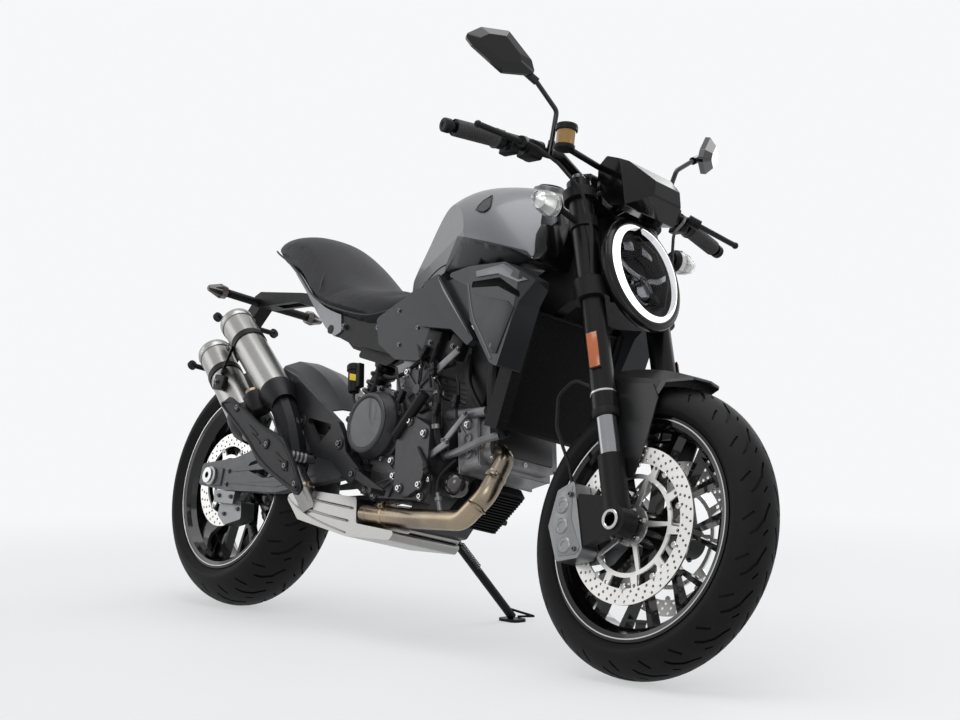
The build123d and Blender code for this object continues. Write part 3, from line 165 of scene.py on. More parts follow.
class Graph:
    """The node tree of one material."""

    def __init__(self, material: bpy.types.Material) -> None:
        """Clear the tree and put in the shader and its output."""
        material.use_nodes = True
        self.tree = material.node_tree
        self.tree.nodes.clear()
        self.shader = self.node("ShaderNodeBsdfPrincipled")
        self.out = self.node("ShaderNodeOutputMaterial", {}, {0: self.shader.outputs[0]})

    def node(self, kind: str, settings: dict | None = None,
             inputs: dict | None = None) -> bpy.types.Node:
        """Add a node.

        Args:
            kind: The node's type name.
            settings: Its properties, which are set first.
            inputs: Values, sockets or terms for its inputs, by index or name.

        Returns:
            The new node.
        """
        node = self.tree.nodes.new(kind)
        for key, value in (settings or {}).items():
            setattr(node, key, value)
        for key, value in (inputs or {}).items():
            self.feed(node.inputs[key], value)
        return node

    def feed(self, socket: bpy.types.NodeSocket, value: object) -> None:
        """Link an output to a socket, or set the socket's own value."""
        if isinstance(value, Term):
            value = value.socket
        if isinstance(value, bpy.types.NodeSocket):
            self.tree.links.new(value, socket)
        elif socket.type == "RGBA" and len(value) == 3:
            socket.default_value = (*value, 1.0)
        else:
            socket.default_value = value

    def set(self, **values: object) -> None:
        """Feed the shader's inputs, named with underscores for blanks."""
        for key, value in values.items():
            self.feed(self.shader.inputs[key.replace("_", " ")], value)

    def place(self, stretch: Point = (1, 1, 1)) -> bpy.types.NodeSocket:
        """Object coordinates, scaled along each axis."""
        source = self.node("ShaderNodeTexCoord").outputs["Object"]
        if stretch == (1, 1, 1):
            return source
        return self.node("ShaderNodeMapping", {"vector_type": "POINT"}, {
            "Vector": source, "Scale": stretch}).outputs[0]

    def parts(self, vector: bpy.types.NodeSocket) -> tuple[Term, Term, Term]:
        """The three numbers of a vector."""
        node = self.node("ShaderNodeSeparateXYZ", {}, {0: vector})
        return tuple(Term(self, node.outputs[n]) for n in range(3))

    def noise(self, scale: float, detail: float = 3.0, rough: float = 0.5,
              vector: bpy.types.NodeSocket | None = None) -> Term:
        """Cloudy noise from zero to one."""
        vector = vector or self.place()
        values = {"Vector": vector, "Scale": scale, "Detail": detail, "Roughness": rough}
        node = self.node("ShaderNodeTexNoise", {}, values)
        return Term(self, node.outputs[0])

    def cells(self, scale: float, feature: str = "F1") -> Term:
        """Distance to the nearest of many scattered points."""
        node = self.node(
            "ShaderNodeTexVoronoi", {"feature": feature}, {"Vector": self.place(), "Scale": scale})
        return Term(self, node.outputs[0])

    def blend(self, factor: Term | float, low: object, high: object) -> bpy.types.NodeSocket:
        """Mix of two colours."""
        settings = {"data_type": "RGBA", "blend_type": "MIX", "clamp_factor": True}
        node = self.node("ShaderNodeMix", settings, {0: factor, 6: low, 7: high})
        return node.outputs[2]

    def relief(self, height: Term, depth: float, strength: float = 1.0) -> None:
        """Feed the shader's normal with the bumps of a height."""
        node = self.node(
            "ShaderNodeBump", {}, {"Height": height, "Distance": depth, "Strength": strength})
        self.set(Normal=node.outputs[0])


# ------------------------------------------------------------------ finishes
@dataclass(frozen=True)
class Finish:
    """A finish, named for the piece it is on."""

    name: str
    colour: Colour
    roughness: float = 0.5
    metallic: float = 0.0
    coat: float = 0.0
    coat_roughness: float = 0.06
    specular: float = 0.5
    slot: str = "black_plastic"

    def material(self) -> bpy.types.Material:
        """The finish as a Blender material, made once."""
        found = bpy.data.materials.get(self.name)
        if found is not None:
            return found
        material = bpy.data.materials.new(self.name)
        graph = Graph(material)
        graph.set(Base_Color=self.colour, Roughness=self.roughness, Metallic=self.metallic,
                  Coat_Weight=self.coat, Coat_Roughness=self.coat_roughness,
                  Specular_IOR_Level=self.specular)
        self.dress(graph)
        return material

    def shade(self, amount: float) -> Colour:
        """The finish's colour, lighter or darker by a factor."""
        return tuple(min(1.0, part * amount) for part in self.colour)

    def dress(self, graph: Graph) -> None:
        """Add what varies over the surface."""
        drift = graph.noise(9.0, 4.0)
        graph.set(Base_Color=graph.blend(drift, self.shade(0.9), self.shade(1.1)))


@dataclass(frozen=True)
class Paint(Finish):
    """Sprayed paint: faint orange peel, fine flake and dust that has settled."""

    flake: float = 0.0
    peel: float = 0.25

    def dress(self, graph: Graph) -> None:
        """Add orange peel, flake and settled dust."""
        drift = graph.noise(7.0, 5.0)
        colour = graph.blend(drift, self.shade(0.93), self.shade(1.07))
        if self.flake:
            spark = graph.cells(2600.0).step(0.16, 0.1)
            colour = graph.blend((1.0 - spark) * self.flake, colour, self.shade(2.2))
        graph.set(Base_Color=colour)
        graph.set(Roughness=graph.noise(60.0, 3.0) * 0.10 + (self.roughness - 0.05))
        graph.relief(graph.noise(420.0, 2.0), 0.00012, self.peel)


@dataclass(frozen=True)
class Moulding(Finish):
    """Moulded plastic with a fine spark-eroded grain."""

    grain: float = 900.0
    depth: float = 0.0002

    def dress(self, graph: Graph) -> None:
        """Add grain, handling marks and a slight drift of colour."""
        drift = graph.noise(12.0, 4.0)
        graph.set(Base_Color=graph.blend(drift, self.shade(0.85), self.shade(1.2)))
        rub = graph.noise(38.0, 6.0, 0.62)
        graph.set(Roughness=rub * 0.16 + (self.roughness - 0.08))
        graph.relief(graph.cells(self.grain) + graph.noise(240.0) * 0.5, self.depth, 0.5)


@dataclass(frozen=True)
class Casting(Finish):
    """Cast metal: sand texture, darker hollows and worn high spots."""

    sand: float = 520.0
    depth: float = 0.0005
    grime: float = 0.3

    def dress(self, graph: Graph) -> None:
        """Add the casting skin, grime in the hollows and rubbed edges."""
        cloud = graph.noise(16.0, 6.0, 0.6).step(0.52, 0.16)
        colour = graph.blend(cloud * self.grime, self.shade(1.12), self.shade(0.55))
        graph.set(Base_Color=colour)
        graph.set(Roughness=graph.noise(70.0, 5.0) * 0.22 + (self.roughness - 0.11))
        skin = graph.noise(self.sand, 4.0, 0.7) + graph.cells(self.sand * 0.7) * 0.6
        graph.relief(skin, self.depth, 0.45)


@dataclass(frozen=True)
class Brushed(Finish):
    """Bare metal with fine brush lines along one direction."""

    stretch: Point = (1.0, 1.0, 0.02)
    lines: float = 1400.0
    depth: float = 0.00005
    stain: Colour = (0.42, 0.33, 0.22)
    stained: float = 0.0

    def dress(self, graph: Graph) -> None:
        """Add brush lines, fingered patches and heat stain."""
        lines = graph.noise(self.lines, 2.0, 0.5, graph.place(self.stretch))
        patch = graph.noise(11.0, 5.0)
        colour = graph.blend(patch, self.shade(0.84), self.shade(1.08))
        stain = graph.noise(6.0, 3.0).step(0.55, 0.2) * self.stained
        graph.set(Base_Color=graph.blend(stain, colour, self.stain))
        graph.set(Roughness=lines * 0.22 + patch * 0.1 + (self.roughness - 0.16))
        graph.relief(lines, self.depth, 0.6)


@dataclass(frozen=True)
class Rubber(Finish):
    """Black rubber with a dusty bloom."""

    bloom: Colour = (0.05, 0.05, 0.052)

    def dress(self, graph: Graph) -> None:
        """Add bloom and a matt skin."""
        dust = graph.noise(20.0, 6.0, 0.65)
        graph.set(Base_Color=graph.blend(dust.step(0.6, 0.25) * 0.7, self.colour, self.bloom))
        graph.set(Roughness=dust * 0.2 + (self.roughness - 0.1))
        graph.relief(graph.noise(1100.0, 2.0) + graph.cells(600.0), 0.00018, 0.4)


@dataclass(frozen=True)
class Hide(Finish):
    """Grained synthetic leather."""

    grain: float = 620.0

    def dress(self, graph: Graph) -> None:
        """Add leather grain, stretch marks and a soft sheen."""
        cell = graph.cells(self.grain, feature="DISTANCE_TO_EDGE")
        drift = graph.noise(14.0, 5.0)
        graph.set(Base_Color=graph.blend(drift, self.shade(0.82), self.shade(1.2)))
        graph.set(Roughness=graph.noise(90.0, 3.0) * 0.14 + (self.roughness - 0.07))
        graph.relief(cell.step(0.05, 0.05) + graph.noise(1500.0) * 0.3, 0.0004, 0.5)


@dataclass(frozen=True)
class Clear(Finish):
    """Clear or smoked moulded lens."""

    index: float = 1.49
    passing: float = 1.0

    def dress(self, graph: Graph) -> None:
        """Set the glass and let a very fine swirl vary its gloss."""
        graph.set(Transmission_Weight=self.passing, IOR=self.index)
        graph.set(Roughness=graph.noise(30.0, 3.0) * 0.03 + self.roughness)


@dataclass(frozen=True)
class Mesh(Finish):
    """Woven wire mesh, with painted shade of the hole behind it between the wires."""

    pitch: float = 0.0042

    def dress(self, graph: Graph) -> None:
        """Add two crossing sets of wires as colour and relief, with near-black painted shade
        between them.
        """
        x, _, z = graph.parts(graph.place())
        one = abs(((x + z) * (1.0 / self.pitch)).fraction() - 0.5)
        two = abs(((x - z) * (1.0 / self.pitch)).fraction() - 0.5)
        wire = 1.0 - one.step(0.32, 0.08) * two.step(0.32, 0.08)
        # Between the wires the colour is near black: painted shade of the hole behind the mesh.
        graph.set(Base_Color=graph.blend(wire, (0.001, 0.001, 0.001), self.shade(3.0)))
        graph.relief(wire, 0.001, 0.8)


@dataclass(frozen=True)
class Glow(Finish):
    """A lamp that is lit."""

    strength: float = 1.0

    def dress(self, graph: Graph) -> None:
        """Light the surface, a little unevenly along the strip."""
        graph.set(Emission_Strength=self.strength)
        even = graph.noise(60.0, 2.0)
        graph.set(Emission_Color=graph.blend(even, self.shade(0.92), self.colour))


class Look:
    """Every finish on the machine."""

    TYRE = Rubber(
        "tyre_rubber", (0.0038, 0.0038, 0.0042), 0.6, bloom=(0.012, 0.012, 0.013), specular=0.16,
        slot="tyre_rubber")
    HOSE = Rubber(
        "hose_rubber", (0.007, 0.007, 0.008), 0.5, bloom=(0.012, 0.012, 0.013), specular=0.2,
        slot="rubber_hose")
    WHEEL = Paint(
        "wheel_gloss_black", (0.003, 0.003, 0.003), 0.14, coat=0.4, peel=0.12, specular=0.2,
        slot="gloss_black_wheel")
    DISC = Brushed(
        "disc_ground_steel", (0.74, 0.73, 0.71), 0.38, 1.0, lines=500.0, stretch=(1.0, 1.0, 1.0),
        slot="disc_steel")
    SPROCKET = Brushed("sprocket_steel", (0.2, 0.2, 0.2), 0.42, 0.9, slot="sprocket_steel")
    CHAIN = Brushed("chain_steel", (0.2, 0.17, 0.13), 0.45, 0.9, stained=0.5, slot="chain_steel")
    FORK = Paint("fork_satin_black", (0.003, 0.003, 0.0034), 0.32, coat=0.1, specular=0.16,
                 slot="satin_black_tube")
    CHROME = Brushed("fork_hard_chrome", (0.27, 0.274, 0.285), 0.14, 1.0, slot="hard_chrome")
    CAST_BLACK = Casting(
        "cast_satin_black", (0.005, 0.005, 0.0056), 0.42, specular=0.16, slot="cast_black")
    PLASTIC = Moulding(
        "black_plastic", (0.005, 0.005, 0.0056), 0.44, specular=0.16, slot="black_plastic")
    DASH = Paint("dash_gloss_black", (0.002, 0.002, 0.0022), 0.14, coat=0.22, peel=0.05,
                 specular=0.16, slot="gloss_black_plastic")
    PANEL_BLACK = Moulding(
        "panel_satin_black", (0.0042, 0.0044, 0.005), 0.36, specular=0.15,
        slot="satin_black_panel")
    GUARD_BLACK = Moulding(
        "mudguard_satin_black", (0.012, 0.0122, 0.013), 0.3, specular=0.55,
        slot="satin_black_panel")
    CALIPER = Casting(
        "caliper_alloy", (0.2, 0.205, 0.21), 0.32, 0.9, sand=900.0, grime=0.2,
        slot="caliper_alloy")
    ENGINE = Casting(
        "engine_magnesium", (0.028, 0.028, 0.0305), 0.42, 0.3, slot="engine_magnesium")
    ALLOY = Casting("engine_alloy", (0.2, 0.2, 0.206), 0.44, 0.75, grime=0.6, slot="engine_alloy")
    RADIATOR = Paint(
        "radiator_matt_black", (0.0025, 0.0025, 0.0025), 0.5, specular=0.14, slot="radiator_black")
    GREY_CAST = Casting("grey_casting", (0.09, 0.092, 0.097), 0.42, 0.4, slot="grey_casting")
    HANGER = Casting(
        "hanger_casting", (0.011, 0.0112, 0.0125), 0.4, 0.15, specular=0.25, slot="grey_casting")
    SHIELD = Moulding(
        "shield_plastic", (0.0085, 0.0088, 0.0104), 0.4, specular=0.18, slot="grey_plastic")
    SHELL = Paint(
        "mirror_shell", (0.004, 0.004, 0.0042), 0.12, coat=0.35, specular=0.2, peel=0.03,
        slot="black_plastic")
    STRIPE = Brushed("rim_stripe", (0.55, 0.55, 0.56), 0.25, 1.0, slot="gloss_black_wheel")
    GREY_PLASTIC = Moulding("grey_plastic", (0.075, 0.077, 0.082), 0.42, slot="grey_plastic")
    HEADER = Brushed(
        "header_steel", (0.19, 0.163, 0.135), 0.27, 1.0, stained=0.8, slot="exhaust_steel")
    STEEL = Brushed("exhaust_steel", (0.34, 0.336, 0.325), 0.3, 1.0, slot="exhaust_steel")
    BRIGHT = Brushed("bright_steel", (0.5, 0.5, 0.5), 0.24, 1.0, slot="brushed_steel")
    TANK = Paint("tank_satin_grey", (0.125, 0.13, 0.139), 0.36, 0.45, coat=0.22, flake=0.25,
                 slot="tank_grey")
    COWL = Paint("cowl_satin_grey", (0.17, 0.176, 0.188), 0.36, 0.45, coat=0.22, flake=0.25,
                 slot="tank_grey")
    # Charcoal of the side panels and wings. The same colour on the tank's lower flanks is painted
    # shade, where the grey tank faces down below its crease.
    TANK_CHARCOAL_AND_SHADE = Paint(
        "flank_charcoal", (0.02, 0.021, 0.0245), 0.36, coat=0.06, flake=0.2, specular=0.22,
        slot="tank_grey")
    SEAT = Hide("seat_leather", (0.016, 0.0163, 0.018), 0.48, specular=0.22, slot="seat_leather")
    SPRING = Paint("spring_black", (0.015, 0.015, 0.016), 0.35, coat=0.3, slot="satin_black_tube")
    WELT = Hide("seat_welt", (0.009, 0.009, 0.01), 0.55, slot="seat_leather")
    # Black of the tank's shut lines. The same colour in the scoop throats is painted shade of the
    # recess under each leaf.
    GAP_AND_SHADE = Moulding(
        "shut_line_black", (0.002, 0.002, 0.002), 0.7, specular=0.1, slot="satin_black_panel")
    RED = Clear(
        "tail_lamp_red", (0.4, 0.01, 0.008), 0.12, passing=0.4, coat=0.5, slot="clear_lens")
    SMOKE = Clear(
        "indicator_smoke", (0.06, 0.045, 0.035), 0.16, passing=0.2, coat=0.6, slot="clear_lens")
    GRILLE = Mesh(
        "intake_mesh", (0.012, 0.012, 0.013), 0.5, specular=0.3, slot="satin_black_panel")
    ENGINE_FACE = Casting(
        "engine_cover_face", (0.075, 0.076, 0.08), 0.34, 0.4, sand=900.0, slot="engine_magnesium")
    FILTER = Paint(
        "filter_gloss", (0.05, 0.05, 0.052), 0.14, 0.6, coat=0.6, slot="engine_magnesium")
    SOOT = Casting("silencer_soot", (0.02, 0.019, 0.018), 0.75, 0.3, slot="exhaust_steel")
    YELLOW = Paint("yellow_tag", (0.7, 0.5, 0.02), 0.4, slot="grey_plastic")
    BOLT = Brushed("bolt_steel", (0.15, 0.15, 0.156), 0.36, 1.0, lines=700.0, slot="brushed_steel")
    GRIP = Rubber("grip_rubber", (0.01, 0.01, 0.011), 0.6, slot="rubber_hose")
    AMBER = Clear(
        "amber_reflector", (0.62, 0.14, 0.02), 0.22, passing=0.25, coat=0.5, slot="clear_lens")
    LAMP_BLACK = Paint(
        "lamp_bucket_black", (0.004, 0.004, 0.0045), 0.26, coat=0.12, specular=0.18,
        slot="gloss_black_plastic")
    DAYLIGHT = Glow("day_ring", (1.0, 1.0, 1.0), 0.3, strength=1.1, slot="clear_lens")
    GLASS = Clear("lamp_glass", (0.98, 0.99, 1.0), 0.02, specular=0.2, slot="clear_lens")
    LAMP_GLASS = Clear(
        "headlamp_glass", (0.5, 0.5, 0.52), 0.02, index=1.1, specular=0.12, slot="clear_lens")
    PEARL = Paint("indicator_bowl", (0.6, 0.6, 0.58), 0.2, 0.6, slot="clear_lens")
    FLUID = Clear(
        "brake_fluid_cup", (0.3, 0.16, 0.012), 0.16, passing=0.15, coat=0.6, slot="clear_lens")
    MIRROR = Brushed("mirror_glass", (0.86, 0.88, 0.9), 0.17, 1.0, depth=0.0, slot="hard_chrome")
    SCREEN = Paint(
        "display_glass", (0.004, 0.005, 0.007), 0.2, specular=0.18, peel=0.02,
        slot="gloss_black_plastic")


# ------------------------------------------------------------------ where the machine stands
class Stance:
    """How the upright machine is steered, leaned and put on the floor."""

    def __init__(self, joints: list[dict]) -> None:
        """Read the lean from the rear axle and the steering from its joint."""
        found = {joint["name"]: joint for joint in joints}
        rear = found["rear_wheel_spin"]
        across = Vector(rear["axis"])
        turned = Matrix.Rotation(-math.atan2(-across.z, across.y), 4, "X")
        self.rear_axle = Vector(rear["pos_m"])
        shift = self.rear_axle - turned @ Vector((0, 0, REAR_AXLE_HEIGHT))
        self.chassis = Matrix.Translation(shift) @ turned
        steer = found["steering"]
        back = self.chassis.inverted()
        pivot = back @ Vector(steer["pos_m"])
        axis = (back.to_3x3() @ Vector(steer["axis"])).normalized()
        if axis.z < 0:
            axis = -axis
        turn = Matrix.Rotation(STEER_REST, 4, axis)
        self.front = self.chassis @ Matrix.Translation(pivot) @ turn @ Matrix.Translation(-pivot)
        cos, sin = math.cos(RAKE), math.sin(RAKE)
        legs = Matrix((
            (cos, 0, -sin, WHEELBASE), (0, 1, 0, 0), (sin, 0, cos, FRONT_AXLE_HEIGHT),
            (0, 0, 0, 1)))
        self.fork = self.front @ legs


# ------------------------------------------------------------------ studio
@dataclass
class Studio:
    """Pale floor, soft lamps and the camera."""

    distance: Point = (4.2138, -2.66657, 0.33436)
    azimuth: float = 50.851
    elevation: float = 0.047
    lens: float = 70.68
    pale: Colour = (0.93, 0.935, 0.945)
    daylight: Colour = (0.95, 0.97, 1.0)
    room: float = 0.26
    floor_radius: float = 9.0
    floor_glow: float = 0.54
    fade_at: float = 2.3
    fade_width: float = 1.5

    def build(self, stance: Stance) -> None:
        """Set the camera, the lamps, the world and the floor."""
        self.camera(stance)
        self.lamps()
        self.world()
        self.floor()
        bpy.context.scene.view_settings.view_transform = "Standard"

    def camera(self, stance: Stance) -> None:
        """Put the camera at its place from the rear axle."""
        turn = (math.radians(90 - self.elevation), 0, math.radians(self.azimuth))
        bpy.ops.object.camera_add(
            location=stance.rear_axle + Vector(self.distance), rotation=turn)
        camera = bpy.context.object
        camera.data.lens = self.lens
        camera.data.sensor_width = 36.0
        bpy.context.scene.camera = camera

    def lamps(self) -> None:
        """Hang the soft boxes: a large one above, a key, a fill and a rear strip."""
        boxes = (
            ("top_box", (0.2, -0.2, 3.0), (0, 0, 0.4), 2.6, 52.0),
            ("key_box", (2.4, -3.6, 2.4), (0.1, 0, 0.6), 1.8, 30.0),
            ("fill_box", (-3.4, -2.4, 1.8), (-0.2, 0, 0.6), 2.0, 16.0),
            ("back_box", (-0.6, 3.4, 2.4), (0, 0, 0.5), 2.4, 30.0),
            ("nose_box", (4.0, 1.8, 1.8), (0.4, 0, 0.6), 1.6, 14.0),
        )
        for name, place, aim, size, power in boxes:
            bpy.ops.object.light_add(type="AREA", location=place)
            lamp = bpy.context.object
            lamp.name = name
            lamp.data.shape = "SQUARE"
            lamp.data.size = size
            lamp.data.energy = power
            lamp.rotation_euler = (Vector(aim) - Vector(place)).to_track_quat("-Z", "Y").to_euler()

    def world(self) -> None:
        """Light the room evenly, and show it pale to the camera and in reflections."""
        world = bpy.data.worlds.new("room")
        bpy.context.scene.world = world
        world.use_nodes = True
        tree = world.node_tree
        tree.nodes.clear()
        path, out, seen, lit, mix, camera_or_gloss, shown = (
            tree.nodes.new("ShaderNode" + kind)
            for kind in ("LightPath", "OutputWorld", "Background", "Background", "MixShader",
                         "Math", "Math"))
        camera_or_gloss.operation = shown.operation = "MAXIMUM"
        seen.inputs[0].default_value = (*self.pale, 1.0)
        lit.inputs[0].default_value = (*self.daylight, 1.0)
        lit.inputs[1].default_value = self.room
        for output, target in (
                (path.outputs["Is Camera Ray"], camera_or_gloss.inputs[0]),
                (path.outputs["Is Glossy Ray"], camera_or_gloss.inputs[1]),
                (camera_or_gloss.outputs[0], shown.inputs[0]),
                (path.outputs["Is Transmission Ray"], shown.inputs[1]),
                (shown.outputs[0], mix.inputs[0]), (lit.outputs[0], mix.inputs[1]),
                (seen.outputs[0], mix.inputs[2]), (mix.outputs[0], out.inputs[0])):
            tree.links.new(output, target)

    def floor(self) -> None:
        """Lay a round pale floor that fades into the room at its rim."""
        bpy.ops.mesh.primitive_circle_add(vertices=96, radius=self.floor_radius, fill_type="NGON")
        floor = bpy.context.object
        floor.name = "studio_floor"
        material = bpy.data.materials.new("studio_floor")
        graph = Graph(material)
        tint = graph.noise(1.3, 3.0)
        graph.set(Base_Color=graph.blend(tint, (0.88, 0.89, 0.90), (0.90, 0.91, 0.92)))
        graph.set(Roughness=0.6, Specular_IOR_Level=0.2)
        x, y, _ = graph.parts(graph.place())
        rim = ((x * x + y * y) ** 0.5).step(self.fade_at, self.fade_width)
        glow = rim * (1.0 - self.floor_glow) + self.floor_glow
        pale = graph.node("ShaderNodeEmission", {}, {0: self.pale, 1: 1.0})
        mix = graph.node(
            "ShaderNodeMixShader", {}, {0: glow, 1: graph.shader.outputs[0], 2: pale.outputs[0]})
        graph.feed(graph.out.inputs[0], mix.outputs[0])
        floor.data.materials.append(material)


# ------------------------------------------------------------------ pieces that stay as packed
WORN_BY_NODE: dict[str, Finish] = {
    "front_tyre": Look.TYRE, "rear_tyre": Look.TYRE,
    "front_wheel": Look.WHEEL, "rear_wheel": Look.WHEEL,
    "brake_hoses": Look.HOSE, "front_brake_discs": Look.DISC, "rear_brake_disc": Look.DISC,
    "rear_sprocket": Look.SPROCKET, "drive_chain": Look.CHAIN,
    "fork_outer_tubes": Look.FORK, "fork_inner_tubes": Look.CHROME,
    "fork_feet_and_axle": Look.CAST_BLACK, "fork_clamps": Look.CAST_BLACK,
    "handlebar": Look.FORK, "hand_controls": Look.PLASTIC, "mirrors": Look.SHELL,
    "headlight": Look.PLASTIC, "instrument_panel": Look.DASH,
    "front_indicators": Look.PLASTIC, "front_mudguard": Look.GUARD_BLACK,
    "front_brake_calipers": Look.CALIPER, "engine_crankcase": Look.ENGINE,
    "engine_cylinders": Look.ALLOY, "engine_side_covers": Look.ENGINE,
    "radiator": Look.RADIATOR, "oil_cooler": Look.RADIATOR, "front_frame": Look.CAST_BLACK,
    "rear_subframe": Look.PANEL_BLACK, "swingarm": Look.GREY_CAST,
    "rear_shock": Look.SPRING, "rear_brake_caliper": Look.CALIPER,
    "rear_mudguard": Look.GREY_PLASTIC, "sprocket_cover": Look.PLASTIC,
    "exhaust_headers": Look.HEADER, "exhaust_collector": Look.STEEL,
    "silencers": Look.STEEL, "heat_shield": Look.SHIELD, "fuel_tank": Look.TANK,
    "fuel_cap": Look.CAST_BLACK, "tank_side_panels": Look.TANK_CHARCOAL_AND_SHADE, "seat": Look.SEAT,
    "tail_cowl": Look.COWL, "plate_holder": Look.PLASTIC,
    "footrest_hangers": Look.HANGER, "side_stand": Look.CAST_BLACK,
}


def dress_nodes(nodes: dict[str, bpy.types.Object]) -> None:
    """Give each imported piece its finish.

    Args:
        nodes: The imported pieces, by name.
    """
    for piece in nodes.values():
        piece.data.materials.clear()
    bpy.data.batch_remove([spare for spare in bpy.data.materials if not spare.users])
    for name, piece in nodes.items():
        piece.data.materials.append(WORN_BY_NODE[name].material())
        log.info("dressed %s", name)


# ------------------------------------------------------------------ modelling bench
class Base(Enum):
    """Frame that a piece is drawn in, in millimetres."""

    BIKE = "upright machine"
    BARS = "upright machine, turned with the bars"
    FORK = "fork legs, from the front axle"


@dataclass(frozen=True)
class Mount:
    """Where a finished piece goes: the frame it is drawn in and the body it rides on."""

    base: Base
    body: str


CHASSIS = Mount(Base.BIKE, "chassis")
BARS = Mount(Base.BARS, "steering")
FORK = Mount(Base.FORK, "steering")
FRONT_WHEEL = Mount(Base.FORK, "front_wheel")
REAR_WHEEL = Mount(Base.BIKE, "rear_wheel")
STAND = Mount(Base.BIKE, "side_stand")
CAP = Mount(Base.BIKE, "fuel_cap")


class Bench:
    """The modelling moves that every sub-assembly is made with."""

    def __init__(self, stance: Stance, nodes: dict[str, Piece]) -> None:
        """Keep the frames that pieces are drawn in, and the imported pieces."""
        small = Matrix.Scale(0.001, 4)
        self.nodes = nodes
        self.trees: dict[str, BVHTree] = {}
        self.frames = {Base.BIKE: stance.chassis @ small, Base.BARS: stance.front @ small,
                       Base.FORK: stance.fork @ small}

    # selection -----------------------------------------------------------
    def alone(self, *pieces: Piece) -> Piece:
        """Select just these pieces, with the first one active."""
        if bpy.context.object is not None and bpy.context.object.mode != "OBJECT":
            bpy.ops.object.mode_set(mode="OBJECT")
        bpy.ops.object.select_all(action="DESELECT")
        for piece in pieces:
            piece.select_set(True)
        bpy.context.view_layer.objects.active = pieces[0]
        return pieces[0]

    def edit(self, piece: Piece, choose: Callable[[Vector], bool] | None = None,
             kind: str = "FACE") -> None:
        """Open a piece in edit mode.

        Args:
            piece: The piece.
            choose: Takes a face's normal and says whether it is selected; all is selected
                without it.
            kind: What is selected, FACE or VERT.
        """
        self.alone(piece)
        mesh = piece.data
        for group in (mesh.vertices, mesh.edges, mesh.polygons):
            group.foreach_set("select", [choose is None] * len(group))
        if choose is not None:
            for face in mesh.polygons:
                face.select = choose(face.normal)
        bpy.ops.object.mode_set(mode="EDIT")
        bpy.ops.mesh.select_mode(type=kind)

    def done(self) -> Piece:
        """Leave edit mode."""
        bpy.ops.object.mode_set(mode="OBJECT")
        return bpy.context.object

    def apply(self, piece: Piece, kind: str, **settings: object) -> Piece:
        """Put one modifier on a piece and apply it."""
        self.alone(piece)
        modifier = piece.modifiers.new(kind.lower(), kind)
        for key, value in settings.items():
            setattr(modifier, key, value)
        bpy.ops.object.modifier_apply(modifier=modifier.name)
        return piece

    def outward(self, piece: Piece) -> Piece:
        """Merge doubles and turn every face outwards."""
        self.edit(piece, kind="VERT")
        bpy.ops.mesh.remove_doubles(threshold=0.01)
        bpy.ops.mesh.normals_make_consistent(inside=False)
        return self.done()

    # shapes --------------------------------------------------------------
    def extrude(self, step: Sequence[float]) -> None:
        """Pull what is selected out by a step."""
        bpy.ops.mesh.extrude_region_move(TRANSFORM_OT_translate={"value": tuple(step)})

    def chain(self, points: Sequence[Place], close: bool = False) -> Piece:
        """A chain of edges drawn point to point, closed and filled when asked."""
        bpy.ops.mesh.primitive_plane_add(size=1.0, location=tuple(points[0]))
        piece = self.alone(bpy.context.object)
        bpy.ops.object.transform_apply(location=True)
        self.edit(piece, kind="VERT")
        bpy.ops.mesh.merge(type="CENTER")
        for start, end in pairwise(points):
            self.extrude([b - a for a, b in zip(start, end)])
        if close:
            bpy.ops.mesh.select_all(action="SELECT")
            bpy.ops.mesh.edge_face_add()
        return self.done()

    def slab(self, points: Sequence[Place], push: Place, edge: float = 0.0,
             segments: int = 2) -> Piece:
        """A flat outline pushed into a slab.

        Args:
            points: Corners of the outline.
            push: The way and distance that it is pushed.
            edge: Rounding of its edges.
            segments: Steps in the rounding.

        Returns:
            The slab.
        """
        piece = self.chain(points, close=True)
        self.edit(piece)
        self.extrude(push)
        self.done()
        self.outward(piece)
        if edge:
            self.round(piece, edge, segments)
        return piece

    def brick(self, xs: Pair, ys: Pair, foot: float, height: float, edge: float = 0.0,
              segments: int = 2) -> Piece:
        """A block that stands on a level foot.

        Args:
            xs: Its two ends along X.
            ys: Its two ends along Y.
            foot: Height of its underside.
            height: How far it rises.
            edge: Rounding of its edges.
            segments: Steps in the rounding.

        Returns:
            The block.
        """
        outline = [(x, y, foot) for x, y in (
            (xs[0], ys[0]), (xs[1], ys[0]), (xs[1], ys[1]), (xs[0], ys[1]))]
        return self.slab(outline, (0, 0, height), edge, segments)

    def plate(self, outline: Sequence[Pair], one: float, other: float, edge: float = 0.0,
              segments: int = 2) -> Piece:
        """A side-on outline of X and Z, between two distances from the middle plane."""
        low, high = sorted((one, other))
        return self.slab([(x, low, z) for x, z in outline], (0, high - low, 0), edge, segments)

    def round(self, piece: Piece, edge: float, segments: int = 2, angle: float = 35) -> Piece:
        """Round the sharp edges of a piece."""
        return self.apply(
            piece, "BEVEL", width=edge, segments=segments, limit_method="ANGLE",
            angle_limit=math.radians(angle))

    def lathe(self, profile: Sequence[Pair], steps: int = 48, closed: bool = False) -> Piece:
        """A profile of radius and height spun round Z."""
        points = [(r, 0.0, h) for r, h in profile]
        if closed:
            points.append(points[0])
        piece = self.chain(points)
        self.edit(piece, kind="VERT")
        bpy.ops.mesh.spin(steps=steps, angle=math.tau, center=(0, 0, 0), axis=(0, 0, 1))
        self.done()
        return self.outward(piece)

    def rod(self, start: Point, end: Point, radius: float, end_radius: float | None = None,
            sides: int = 20, edge: float = 0.0) -> Piece:
        """A round bar or cone between two points."""
        a, b = Vector(start), Vector(end)
        bpy.ops.mesh.primitive_cone_add(
            vertices=sides, radius1=radius, radius2=radius if end_radius is None else end_radius,
            depth=(b - a).length)
        piece = self.alone(bpy.context.object)
        if edge:
            self.round(piece, edge, 2, 50)
        return self.move(piece, self.aim((a + b) / 2, b - a))

